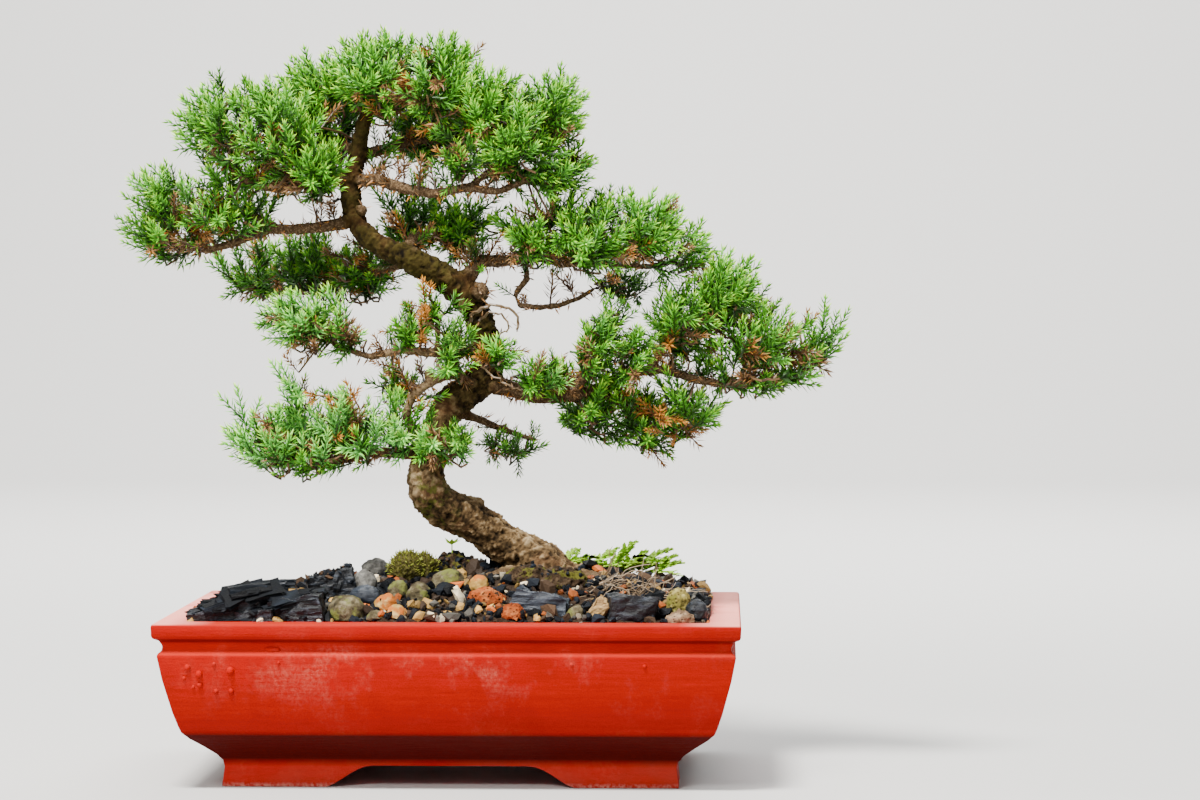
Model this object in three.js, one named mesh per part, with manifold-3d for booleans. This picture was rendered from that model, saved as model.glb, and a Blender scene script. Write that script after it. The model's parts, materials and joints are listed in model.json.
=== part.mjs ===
// A juniper bonsai in a footed rectangular pot. Millimetres, +Z up, +Y to the back.
// Everything is laid out from the middle of the pot at table height; the last lines
// move the whole group so that the origin is under the middle of its bounding box.
import * as THREE from "three";
import { mergeVertices } from "three/addons/utils/BufferGeometryUtils.js";
import Module from "manifold-3d";

const wasm = await Module();
wasm.setup();

// ---- Driving dimensions -------------------------------------------------------

const POT_LENGTH = 300;
const POT_WIDTH = 210;
const POT_HEIGHT = 87;
const RIM_WIDTH = 13;
const FLOOR_TOP = 22;
const FOOT_HEIGHT = 11;
const DRAIN_RADIUS = 9;
const DRAIN_OFFSET = 58;
const SCREEN_SIDE = 32;
const SCREEN_THICKNESS = 1;

// The soil is heaped under the trunk: its height at the pot's wall, how much higher the top of
// the heap is and where, how far the heap reaches, and the height of the lumps in it.
const SOIL_EDGE = POT_HEIGHT - 3;
const MOUND_HEIGHT = 24;
const MOUND_CENTRE_X = 20;
const MOUND_REACH_X = 150;
const MOUND_REACH_Y = 95;
const SOIL_LUMPS = 0.6;

// How deep a stone sits in the soil, and the room between pieces that touch.
const BEDDING = 5;
const GAP = 0.35;

// ---- Solids -------------------------------------------------------------------

function solidFrom(geometry) {
  const bare = geometry.clone();
  bare.deleteAttribute("normal");
  bare.deleteAttribute("uv");
  const merged = mergeVertices(bare, 1e-4);
  return new wasm.Manifold(
    new wasm.Mesh({
      numProp: 3,
      vertProperties: new Float32Array(merged.attributes.position.array),
      triVerts: new Uint32Array(merged.index.array),
    }),
  );
}

function geometryFrom(solid) {
  const mesh = solid.getMesh();
  const position = new Float32Array(mesh.numVert * 3);
  for (let i = 0; i < mesh.numVert; i++) {
    const first = i * mesh.numProp;
    position.set(mesh.vertProperties.subarray(first, first + 3), i * 3);
  }
  return new THREE.BufferGeometry()
    .setAttribute("position", new THREE.BufferAttribute(position, 3))
    .setIndex(new THREE.BufferAttribute(new Uint32Array(mesh.triVerts), 1));
}

// Cutting a lobe by its neighbours can shave off a crumb, so only the main body is kept.
function mainBody(solid) {
  const bodies = solid.decompose();
  return bodies.sort((a, b) => b.volume() - a.volume())[0];
}

function joined(solids) {
  return solids.reduce((all, one) => all.add(one));
}

// A small repeatable random generator, so that every build gives the same stones.
function randomFrom(seed) {
  let state = seed;
  return () => {
    state = (state * 1664525 + 1013904223) % 4294967296;
    return state / 4294967296;
  };
}

// Stacks rectangles [halfLength, halfWidth, height], lowest first, into a closed solid.
function rectangleStack(rings) {
  const corners = [[-1, -1], [1, -1], [1, 1], [-1, 1]];
  const position = [];
  const index = [];
  for (const [halfLength, halfWidth, height] of rings) {
    for (const [sx, sy] of corners) position.push(sx * halfLength, sy * halfWidth, height);
  }
  for (let ring = 0; ring < rings.length - 1; ring++) {
    for (let side = 0; side < 4; side++) {
      const a = ring * 4 + side;
      const b = ring * 4 + ((side + 1) % 4);
      index.push(a, b, b + 4, a, b + 4, a + 4);
    }
  }
  const top = (rings.length - 1) * 4;
  index.push(0, 2, 1, 0, 3, 2, top, top + 1, top + 2, top, top + 2, top + 3);
  const geometry = new THREE.BufferGeometry();
  geometry.setAttribute("position", new THREE.Float32BufferAttribute(position, 3));
  geometry.setIndex(index);
  return solidFrom(geometry);
}

// ---- Pot ----------------------------------------------------------------------

// The wall's outline as [inset from the rim's edge, height], from the feet up: splayed feet,
// the undercut, the bellied panel, a hollow moulding under the lip, and the lip itself.
const WALL_OUTLINE = [
  [31.8, 0], [32, 2.5], [33, 10], [32.4, 13.4], [29.4, 17.1], [23, 22.2], [17, 26.6],
  [13.5, 30], [12.2, 33], [9.5, 41], [5, 58], [2.8, 69.5], [2.6, 71], [5, 73.2],
  [5.2, 75.5], [3.6, 78.2], [0.8, 79.5], [0, POT_HEIGHT],
];
const CAVITY_OUTLINE = [
  [RIM_WIDTH + 25, FLOOR_TOP], [RIM_WIDTH + 11, 35], [RIM_WIDTH + 4, 60],
  [RIM_WIDTH, POT_HEIGHT + 40],
];

function rings(outline, shrink = 0) {
  return outline.map(([inset, height]) => [
    POT_LENGTH / 2 - inset - shrink,
    POT_WIDTH / 2 - inset - shrink,
    height,
  ]);
}

// The opening between two feet: flat on top, with a curved shoulder down to each foot.
function footArch(halfOpening, halfTop, length) {
  const shape = new THREE.Shape();
  shape.moveTo(-halfOpening, -5);
  shape.lineTo(-halfOpening, 0);
  shape.bezierCurveTo(-halfOpening + 9, 3, -halfTop - 8, FOOT_HEIGHT, -halfTop, FOOT_HEIGHT);
  shape.lineTo(halfTop, FOOT_HEIGHT);
  shape.bezierCurveTo(halfTop + 8, FOOT_HEIGHT, halfOpening - 9, 3, halfOpening, 0);
  shape.lineTo(halfOpening, -5);
  shape.closePath();
  const geometry = new THREE.ExtrudeGeometry(shape, {
    depth: length,
    bevelEnabled: false,
    curveSegments: 6,
  });
  geometry.translate(0, 0, -length / 2);
  geometry.rotateX(Math.PI / 2);
  return geometry;
}

function potSolid() {
  const frontArches = footArch(64, 40, POT_WIDTH);
  const sideArches = footArch(38, 22, POT_LENGTH).rotateZ(Math.PI / 2);
  const footWall = 13;
  const recess = rectangleStack([
    [POT_LENGTH / 2 - 32 - footWall, POT_WIDTH / 2 - 32 - footWall, -5],
    [POT_LENGTH / 2 - 33 - footWall, POT_WIDTH / 2 - 33 - footWall, FOOT_HEIGHT],
  ]);
  let pot = rectangleStack(rings(WALL_OUTLINE))
    .subtract(rectangleStack(rings(CAVITY_OUTLINE)))
    .subtract(recess)
    .subtract(solidFrom(frontArches))
    .subtract(solidFrom(sideArches));
  for (const side of [-1, 1]) {
    const drain = new THREE.CylinderGeometry(DRAIN_RADIUS, DRAIN_RADIUS, 40, 24);
    drain.rotateX(Math.PI / 2);
    drain.translate(side * DRAIN_OFFSET, 0, FLOOR_TOP);
    pot = pot.subtract(solidFrom(drain));
  }
  return pot;
}

// The plastic mesh laid over each drain hole: strips crossing at right angles.
function screenSolid(centreX) {
  const strips = 4;
  const stripWidth = 2.4;
  const pitch = (SCREEN_SIDE - stripWidth) / (strips - 1);
  const solids = [];
  for (let i = 0; i < strips; i++) {
    const across = i * pitch - (SCREEN_SIDE - stripWidth) / 2;
    const lengthwise = new THREE.BoxGeometry(SCREEN_SIDE, stripWidth, SCREEN_THICKNESS);
    const crosswise = new THREE.BoxGeometry(stripWidth, SCREEN_SIDE, SCREEN_THICKNESS);
    solids.push(solidFrom(lengthwise.translate(0, across, 0)));
    solids.push(solidFrom(crosswise.translate(across, 0, 0)));
  }
  return joined(solids).translate([centreX, 0, FLOOR_TOP + GAP + SCREEN_THICKNESS / 2]);
}

// ---- Soil ---------------------------------------------------------------------

function soilHeight(x, y) {
  const along = Math.max(0, 1 - ((x - MOUND_CENTRE_X) / MOUND_REACH_X) ** 2);
  const across = Math.max(0, 1 - Math.abs(y / MOUND_REACH_Y) ** 1.6);
  const lumps = Math.sin(x / 9 + 1) * Math.cos(y / 8) + Math.sin(x / 5 - y / 6);
  return SOIL_EDGE + MOUND_HEIGHT * along * across + SOIL_LUMPS * lumps;
}

// A block whose top is the ground, raised by lift.
function groundBlock(lift) {
  const block = new THREE.BoxGeometry(POT_LENGTH, POT_WIDTH, 10, 15, 10, 1);
  const position = block.attributes.position;
  for (let i = 0; i < position.count; i++) {
    const isTop = position.getZ(i) > 0;
    const height = isTop ? soilHeight(position.getX(i), position.getY(i)) + lift : 0;
    position.setZ(i, height);
  }
  return solidFrom(block);
}

// ---- Tree ---------------------------------------------------------------------

// A closed tapering limb through points [x, y, z, radius], with an uneven round section. It
// has the given number of stretches from one point to the next.
function limb(points, sides, stretches, swell = 0) {
  const curve = new THREE.CatmullRomCurve3(
    points.map(([x, y, z]) => new THREE.Vector3(x, y, z)),
    false,
    "centripetal",
  );
  const steps = Math.ceil((points.length - 1) * stretches);
  const frames = curve.computeFrenetFrames(steps, false);
  const position = [];
  const index = [];
  for (let step = 0; step <= steps; step++) {
    const along = step / steps;
    const centre = curve.getPointAt(along);
    const place = curve.getUtoTmapping(along) * (points.length - 1);
    const before = Math.min(points.length - 2, Math.floor(place));
    const radius = THREE.MathUtils.lerp(
      points[before][3],
      points[before + 1][3],
      place - before,
    );
    for (let side = 0; side < sides; side++) {
      const angle = (side / sides) * Math.PI * 2;
      const uneven = 1 + 0.07 * Math.sin(2 * angle + 7 * along) + 0.05 * Math.sin(3 * angle);
      const reach = radius * uneven + swell;
      const offset = frames.normals[step]
        .clone()
        .multiplyScalar(Math.cos(angle) * reach)
        .addScaledVector(frames.binormals[step], Math.sin(angle) * reach);
      position.push(centre.x + offset.x, centre.y + offset.y, centre.z + offset.z);
    }
  }
  for (let step = 0; step < steps; step++) {
    for (let side = 0; side < sides; side++) {
      const a = step * sides + side;
      const b = step * sides + ((side + 1) % sides);
      index.push(a, b, b + sides, a, b + sides, a + sides);
    }
  }
  const end = steps * sides;
  for (let side = 1; side < sides - 1; side++) {
    index.push(0, side + 1, side, end, end + side, end + side + 1);
  }
  const geometry = new THREE.BufferGeometry();
  geometry.setAttribute("position", new THREE.Float32BufferAttribute(position, 3));
  geometry.setIndex(index);
  return solidFrom(geometry);
}

// The trunk leans left out of the soil, doubles back to the right at the first bend, then
// leans left again and turns up into the crown. Each point is [x, y, z, radius].
const TRUNK = [
  [54, 0, 78, 13], [50, 0, 95, 17], [44, 0, 107, 16], [35, 0, 114, 12.6], [25, -1, 120, 10.8],
  [16, -2, 127, 10.3], [7, -4, 134, 10.8], [-4, -6, 139, 11.2], [-13, -8, 145, 11],
  [-17, -8, 153, 10.4], [-17, -7, 162, 9.4], [-14, -5, 175, 8], [-10, -1, 187, 7.8],
  [-5, 3, 196, 8.6], [5, 6, 203, 8.4], [13, 6, 210, 8], [16, 6, 221, 7.4], [12, 4, 234, 7],
  [9, 2, 245, 6.6], [2, 0, 255, 7.2], [-9, -3, 264, 6.8], [-22, -6, 271, 6],
  [-34, -6, 277, 5.2], [-45, -5, 282, 5], [-53, -2, 289, 5.2], [-57, 1, 297, 5.2],
  [-59, 3, 307, 5], [-58, 4, 318, 4.8], [-55, 4, 330, 3.8], [-53, 3, 343, 3.2],
  [-48, 2, 355, 2.6], [-41, 2, 369, 1.8],
];

const SURFACE_ROOTS = [
  [[48, -4, 103, 9], [72, -12, 101, 6], [95, -20, 95, 4], [112, -28, 84, 2.5]],
  [[50, 6, 103, 9], [78, 14, 102, 6], [104, 26, 95, 4], [118, 34, 82, 2.5]],
  [[42, -8, 102, 8], [48, -26, 101, 5], [54, -44, 93, 3.5], [56, -58, 82, 2.5]],
  [[44, 8, 103, 8], [40, 28, 102, 5], [35, 46, 94, 3.5], [32, 60, 82, 2.5]],
  [[36, -6, 104, 8], [18, -18, 103, 5], [-2, -30, 97, 3.5], [-16, -40, 85, 2.2]],
  [[34, 8, 104, 8], [14, 20, 104, 5], [-8, 32, 97, 3.5], [-20, 44, 84, 2.2]],
];

const BRANCHES = {
  left_low: [
    [-14, -5, 175, 3.6], [-29, -12, 170, 2.9], [-46, -18, 171, 2.5], [-60, -22, 167, 2.3],
    [-76, -24, 164, 2], [-92, -22, 168, 1.6], [-108, -20, 177, 1.1],
  ],
  left_low_upright: [[-58, -22, 167, 1.8], [-56, -22, 182, 1.4], [-60, -24, 198, 1]],
  left_low_back: [[-60, -22, 167, 2], [-72, -6, 168, 1.6], [-84, 6, 172, 1.1]],
  left_middle: [
    [14, 4, 228, 3.4], [-3, -8, 223, 2.8], [-16, -14, 224, 2.4], [-36, -18, 225, 2.1],
    [-51, -20, 221, 1.9], [-63, -20, 227, 1.6], [-78, -22, 238, 1.3], [-89, -22, 246, 1],
  ],
  left_middle_upright: [[-11, -12, 224, 1.6], [-11, -14, 236, 1.3], [-12, -16, 247, 1]],
  back_left: [
    [-19, -6, 273, 4], [-37, 14, 271, 3.2], [-55, 30, 266, 2.8], [-75, 42, 259, 2.4],
    [-95, 50, 255, 1.9], [-114, 54, 258, 1.5], [-126, 56, 266, 1],
  ],
  far_left: [
    [-57, 0, 294, 3.8], [-72, -5, 291, 3], [-85, -8, 289, 2.8], [-98, -10, 291, 2.6],
    [-117, -12, 283, 2.3], [-132, -14, 278, 2], [-150, -14, 281, 1.5], [-165, -12, 288, 1],
  ],
  far_left_riser: [[-98, -10, 291, 2.2], [-112, -14, 298, 1.8], [-130, -16, 304, 1.1]],
  upper_left: [
    [-59, 4, 317, 3.6], [-68, -6, 317, 2.8], [-80, -16, 314, 2.5], [-94, -22, 310, 2.2],
    [-110, -26, 314, 1.8], [-122, -28, 323, 1.5], [-133, -28, 334, 1],
  ],
  crown_left: [[-56, 4, 331, 3.2], [-69, 14, 338, 2.4], [-81, 20, 347, 1.9], [-88, 22, 360, 1.1]],
  right_spread: [
    [-58, 4, 315, 3.8], [-43, -8, 316, 3.2], [-26, -14, 310, 2.8], [-10, -17, 308, 2.5],
    [6, -20, 311, 2.3], [22, -20, 309, 2], [37, -18, 315, 1.6], [52, -14, 324, 1.1],
  ],
  right_spread_riser: [[6, -20, 311, 1.9], [20, -16, 322, 1.6], [33, -14, 336, 1.1]],
  crown_back: [
    [-55, 4, 329, 3.4], [-42, 14, 333, 2.7], [-27, 24, 338, 2.3], [-9, 30, 339, 2],
    [7, 34, 344, 1.6], [24, 34, 352, 1.1],
  ],
  crown_right: [[-49, 2, 354, 2.4], [-33, -4, 364, 1.9], [-14, -6, 370, 1.5], [4, -6, 376, 1]],
  small_back: [
    [-30, -4, 276, 4.2], [-24, 10, 286, 3.8], [-13, 24, 284, 2], [-6, 32, 291, 1.6],
    [6, 36, 296, 1],
  ],
  right_upper: [
    [2, 0, 262, 5], [8, 4, 271, 4], [17, 8, 273, 3.4], [30, 8, 273, 3], [42, 4, 275, 2.6],
    [55, 0, 271, 2.3], [74, -4, 272, 2], [95, -6, 269, 1.6], [116, -6, 272, 1.1],
  ],
  looping_twig: [
    [34, 7, 273, 2], [37, 6, 267, 1.8], [33, 8, 259, 1.6], [26, 8, 251, 1.5], [36, 6, 248, 1.4],
    [48, 4, 248, 1.4], [60, 4, 251, 1.3], [72, 8, 258, 1],
  ],
  right_main: [
    [10, 6, 208, 5.4], [29, -4, 204, 4.4], [45, -10, 200, 3.8], [61, -12, 201, 3.4],
    [74, -10, 204, 3.1], [87, -6, 211, 2.9], [103, -4, 216, 2.6], [122, -4, 210, 2.3],
    [141, -6, 207, 2], [159, -8, 206, 1.8], [180, -8, 212, 1.4], [196, -6, 221, 1],
  ],
  right_low: [[74, -10, 204, 2.4], [87, -2, 195, 2.1], [103, 4, 189, 1.8], [122, 6, 190, 1.1]],
  right_high: [[103, -4, 216, 2.3], [110, -4, 230, 1.9], [122, 0, 241, 1.6], [136, 4, 252, 1.1]],
  right_front: [[61, -12, 201, 2.3], [72, -22, 218, 1.9], [80, -26, 232, 1.5], [85, -26, 243, 1]],
  low_back: [[-4, 4, 192, 2.8], [10, 14, 187, 2], [26, 20, 180, 1.6], [38, 24, 176, 1.1]],
  low_spray: [[-15, -10, 168, 2.4], [-8, -20, 166, 1.7], [0, -24, 171, 1.3], [4, -24, 179, 1]],
  front_left: [[8, 0, 207, 2.6], [3, -14, 210, 1.8], [-1, -22, 218, 1.4], [-2, -25, 232, 1]],
  front_right: [[14, 0, 216, 2.4], [20, -12, 218, 1.6], [23, -20, 228, 1]],
  old_elbow: [
    [-17, -4, 178, 3], [-27, -8, 184, 2.6], [-28, -10, 193, 2.4], [-25, -11, 200, 2.4],
    [-18, -11, 206, 2.3], [-10, -10, 210, 2.2], [-3, -5, 212, 2.2], [6, 3, 207, 2.2],
  ],
  elbow_stub: [[-16, -11, 206, 2.4], [-16, -12, 214, 2.1]],
};

// The tree is one grown piece: trunk, roots and branches joined. swell fattens it all round,
// which gives the shape that makes room for it in the soil and in the foliage.
function treeSolid(swell) {
  const roots = SURFACE_ROOTS.map((points) => limb(points, 5, 1, swell));
  const branches = Object.values(BRANCHES).map((points) => limb(points, 5, 1, swell));
  return joined([limb(TRUNK, 10, 1.4, swell), ...roots, ...branches]);
}

// ---- Foliage ------------------------------------------------------------------

// Each pad of foliage is a cluster of rounded lobes: [x, y, z, half length, half depth,
// half height]. A pad is one solid, which stands for its twigs and needles.
const PADS = {
  left_low: [
    [-108, -20, 177, 19, 20, 13], [-84, -22, 168, 26, 24, 13], [-56, -22, 174, 20, 22, 13],
    [-36, -20, 178, 14, 16, 12], [-60, -24, 194, 9, 12, 12], [-88, -24, 195, 7, 9, 18],
    [-80, 2, 172, 18, 16, 11],
  ],
  low_spray: [[-15, -25, 176, 9, 9, 15], [2, -24, 176, 11, 12, 12]],
  left_middle: [[-83, -22, 241, 20, 22, 17], [-59, -20, 232, 13, 14, 8]],
  left_inner: [[-26, -17, 235, 14, 16, 12], [-13, -16, 246, 7, 10, 11]],
  back_left: [
    [-118, 54, 263, 20, 22, 13], [-87, 46, 270, 24, 28, 19], [-58, 38, 264, 21, 22, 15],
  ],
  far_left: [
    [-159, -12, 289, 20, 26, 20], [-134, -14, 297, 23, 28, 18], [-112, -12, 292, 15, 20, 11],
    [-157, -16, 311, 18, 22, 11],
  ],
  upper_left: [
    [-127, -24, 344, 24, 30, 23], [-101, -28, 340, 26, 34, 28], [-79, -26, 320, 20, 26, 18],
    [-114, -24, 318, 23, 28, 12],
  ],
  crown_left: [[-77, 18, 363, 23, 34, 22], [-74, 30, 341, 18, 24, 14]],
  crown_top: [
    [-43, 0, 371, 26, 40, 24], [-12, 2, 367, 28, 44, 26], [-35, -4, 380, 18, 24, 15],
  ],
  crown_right: [
    [18, -8, 352, 18, 36, 22], [36, -14, 337, 24, 36, 26], [53, -10, 351, 16, 30, 21],
    [55, -12, 322, 18, 26, 17],
  ],
  crown_inner: [[5, -24, 327, 17, 18, 13]],
  crown_back: [[-18, 46, 346, 26, 28, 22], [22, 42, 342, 23, 26, 20]],
  small_back: [[-32, 38, 293, 17, 18, 12], [-4, 36, 290, 22, 22, 16]],
  right_upper: [
    [45, -4, 285, 20, 26, 17], [74, -8, 286, 27, 32, 22], [102, -6, 288, 22, 30, 20],
    [122, -4, 277, 14, 22, 17], [54, -6, 303, 14, 17, 10],
  ],
  right_back: [[87, 28, 259, 17, 18, 9]],
  right_front: [[78, -28, 228, 18, 20, 24], [95, -26, 223, 13, 16, 20]],
  right_big: [
    [125, -2, 241, 24, 32, 22], [142, 3, 253, 20, 30, 23], [162, -4, 230, 24, 32, 19],
    [184, -6, 226, 23, 20, 11], [158, -6, 208, 22, 20, 10],
  ],
  right_low: [[73, 0, 190, 20, 28, 15], [101, 4, 184, 23, 30, 15], [125, 4, 191, 18, 26, 14]],
  front_left_spray: [[-2, -25, 222, 10, 12, 20]],
  front_right_spray: [[22, -20, 223, 9, 10, 13]],
  front_middle: [[46, -22, 212, 17, 18, 13]],
  low_back: [[26, 21, 171, 17, 15, 9]],
  low_left_back: [[-36, 20, 206, 12, 16, 12]],
};

function lobe([x, y, z, halfLength, halfDepth, halfHeight], swell = 0) {
  const ball = new THREE.IcosahedronGeometry(1, 1);
  ball.scale(halfLength + swell, halfDepth + swell, halfHeight + swell);
  ball.translate(x, y, z);
  return solidFrom(ball);
}

function padSolid(lobes, swell = 0) {
  return joined(lobes.map((one) => lobe(one, swell)));
}

// ---- Top dressing ---------------------------------------------------------------

// Stones, charcoal and clods: [x, y, z of the middle, length, width, height, turn, tilt],
// the turn about the vertical and the tilt along the length, in degrees.
const CHUNKS = {
  charcoal_long_slab: ["slab", -114, -80, 93, 38, 12, 9, 8, -20],
  charcoal_back_slab: ["slab", -104, -64, 95, 40, 13, 9, 4, -16],
  charcoal_small_slab: ["slab", -99, -84, 89, 20, 8, 6, -6, -4],
  charcoal_ringed_block: ["slab", -77, -80, 92, 27, 16, 13, -8, -10],
  charcoal_right_block: ["slab", 93, -78, 93, 24, 14, 13, 12, 6],
  slate_shard: ["slab", 46, -74, 95, 27, 8, 12, -6, 18],
  bark_block: ["slab", -64, -48, 103, 24, 12, 12, 15, -14],
  wood_chip: ["slab", 77, -79, 95, 13, 3.2, 3, -20, -52],
  pumice_boulder: ["stone", -53, -78, 93, 22, 18, 15, 0, 0],
  mossy_pebble: ["stone", -37, -85, 89, 11, 9, 8, 20, 0],
  ochre_upper_stone: ["stone", -33, -69, 96, 13, 10, 9, -15, 10],
  ochre_lower_stone: ["stone", -26, -82, 91, 12, 10, 10, 30, -12],
  grey_cobble: ["stone", -47, -44, 105, 14, 12, 11, 10, 0],
  black_flint: ["stone", -45, -58, 100, 18, 11, 8, -12, 6],
  olive_pebble: ["stone", -29, -52, 102, 11, 9, 8, 0, 0],
  lichen_stone: ["stone", -17, -59, 100, 14, 11, 10, 25, 0],
  round_cobble: ["stone", -3, -42, 105, 19, 15, 12, 5, 0],
  tan_pebble: ["stone", 13, -48, 104, 12, 10, 10, -20, 0],
  rust_lava: ["stone", 19, -63, 98, 21, 12, 10, 8, 8],
  orange_lava: ["stone", 33, -84, 92, 14, 10, 10, -14, 14],
  olive_stone: ["stone", 65, -82, 91, 10, 9, 10, 12, 0],
  gold_stone: ["stone", 118, -64, 97, 13, 11, 12, 15, 0],
  black_lava: ["stone", 127, -74, 93, 12, 11, 11, 0, 0],
  clay_clod: ["stone", 119, -84, 89, 17, 11, 9, -8, 0],
  back_lava: ["stone", -46, 6, 107, 16, 14, 12, 0, 0],
};

// A piece of charred or split wood, or of slate: a box whose faces are uneven.
function slabShape(random) {
  return roughened(new THREE.BoxGeometry(1, 1, 1, 4, 2, 2), random, 0.1);
}

// A worn stone: a faceted ball with its corners moved in and out.
function stoneShape(random) {
  return roughened(new THREE.IcosahedronGeometry(0.5, 1), random, 0.05);
}

// Moves each corner of a unit shape at random, once for all the faces that share it.
function roughened(shape, random, amount) {
  shape.deleteAttribute("normal");
  shape.deleteAttribute("uv");
  const merged = mergeVertices(shape, 1e-4);
  const position = merged.attributes.position;
  for (let i = 0; i < position.count; i++) {
    position.setXYZ(
      i,
      position.getX(i) + (random() - 0.5) * amount,
      position.getY(i) + (random() - 0.5) * amount * 2,
      position.getZ(i) + (random() - 0.5) * amount * 2,
    );
  }
  return merged;
}

// A chunk is drawn down into the ground by BEDDING, and the ground is then cut from it.
function chunkSolid([kind, x, y, z, length, width, height, turn, tilt], seed, swell) {
  const random = randomFrom(seed);
  const shape = kind === "slab" ? slabShape(random) : stoneShape(random);
  shape.scale(length + swell, width + swell, height + BEDDING + swell);
  shape.rotateY(THREE.MathUtils.degToRad(tilt));
  shape.rotateZ(THREE.MathUtils.degToRad(turn));
  shape.translate(x, y, z - BEDDING / 2);
  return solidFrom(shape);
}

// Soft growth on the soil, as clusters of lobes like the foliage.
const GROUND_COVER = {
  moss_cushion: [[-27, -24, 108, 12, 10, 9], [-17, -20, 108, 8, 8, 8]],
  earth_mound: [[-3, -6, 105, 14, 13, 11]],
  root_clod: [[38, -30, 103, 15, 12, 9], [55, -32, 102, 16, 12, 9]],
  fine_root_mat: [[84, -34, 97, 20, 22, 9], [103, -38, 92, 16, 20, 8], [78, -14, 101, 16, 10, 6]],
  fern_sprig: [[64, 22, 110, 12, 7, 4], [84, 20, 110, 14, 8, 4], [106, 18, 107, 14, 7, 4]],
};

// ---- Assembly -------------------------------------------------------------------

const COLOURS = {
  pot: "#b8321c", screen: "#2b2b2b", soil: "#2c221c", bark: "#5b4736", needles: "#3f8a35",
  charcoal: "#1d1e22", stone: "#7c7350", moss: "#76802c", fern: "#6fae45", roots: "#8d7763",
};
const COVER_COLOURS = {
  moss_cushion: COLOURS.moss, earth_mound: COLOURS.soil, root_clod: COLOURS.roots,
  fine_root_mat: COLOURS.roots, fern_sprig: COLOURS.fern,
};

function material(colour, roughness = 0.85) {
  return new THREE.MeshStandardMaterial({ color: colour, roughness, metalness: 0 });
}

const bonsai = new THREE.Group();

function place(name, solid, colour, roughness) {
  const mesh = new THREE.Mesh(geometryFrom(solid), material(colour, roughness));
  mesh.name = name;
  bonsai.add(mesh);
}

const tree = treeSolid(0);
const treeRoom = treeSolid(GAP);
const pot = potSolid();
const screens = { drain_screen_left: -DRAIN_OFFSET, drain_screen_right: DRAIN_OFFSET };

place("pot", pot, COLOURS.pot, 0.6);
place("trunk_and_branches", tree, COLOURS.bark, 0.9);

let soil = rectangleStack(rings(CAVITY_OUTLINE, GAP))
  .translate([0, 0, GAP])
  .intersect(groundBlock(0))
  .subtract(treeRoom);
for (const [name, centreX] of Object.entries(screens)) {
  place(name, screenSolid(centreX), COLOURS.screen, 0.5);
  const side = SCREEN_SIDE / 2 + GAP;
  const room = rectangleStack([
    [side, side, FLOOR_TOP - 1],
    [side, side, FLOOR_TOP + SCREEN_THICKNESS + 3 * GAP],
  ]);
  soil = soil.subtract(room.translate([centreX, 0, 0]));
}
place("soil", mainBody(soil), COLOURS.soil, 1);

// Everything that lies on the soil is cut by the ground, by the tree and by what lies there
// already, each made a little larger, so that no two pieces share any space.
const ground = groundBlock(GAP);
const inner = rectangleStack(rings(CAVITY_OUTLINE, 2 * GAP));
const laid = [];

function lay(name, solid, room, colour) {
  let left = solid.subtract(ground).intersect(inner).subtract(treeRoom);
  for (const other of laid) left = left.subtract(other);
  place(name, mainBody(left), colour, 0.9);
  laid.push(room);
}

Object.entries(CHUNKS).forEach(([name, chunk], i) => {
  const colour = chunk[0] === "slab" ? COLOURS.charcoal : COLOURS.stone;
  lay(name, chunkSolid(chunk, i + 1, 0), chunkSolid(chunk, i + 1, 2 * GAP), colour);
});
for (const [name, lobes] of Object.entries(GROUND_COVER)) {
  lay(name, padSolid(lobes), padSolid(lobes, GAP), COVER_COLOURS[name]);
}

const grown = [];
for (const [name, lobes] of Object.entries(PADS)) {
  let pad = padSolid(lobes).subtract(treeRoom);
  for (const other of grown) pad = pad.subtract(other);
  place("foliage_" + name, mainBody(pad), COLOURS.needles, 0.7);
  grown.push(padSolid(lobes, GAP));
}

const extent = new THREE.Box3().setFromObject(bonsai);
const middle = extent.getCenter(new THREE.Vector3());
bonsai.position.set(-middle.x, -middle.y, 0);

export default bonsai;
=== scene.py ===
# %% [markdown]
# # A juniper bonsai in a painted pot
# A small juniper, trained for years into a bent trunk with flat clouds of needles, grows in a
# red-orange rectangular pot. Everything here is in metres, with +Z up, +X along the pot and +Y to
# the back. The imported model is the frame: it says where each piece is and how big it is, and each
# cell below makes one piece of the real thing in its place.

import json
import math

import bmesh
import bpy
import numpy as np
from mathutils import Matrix, Vector, kdtree, noise
from mathutils.bvhtree import BVHTree

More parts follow.
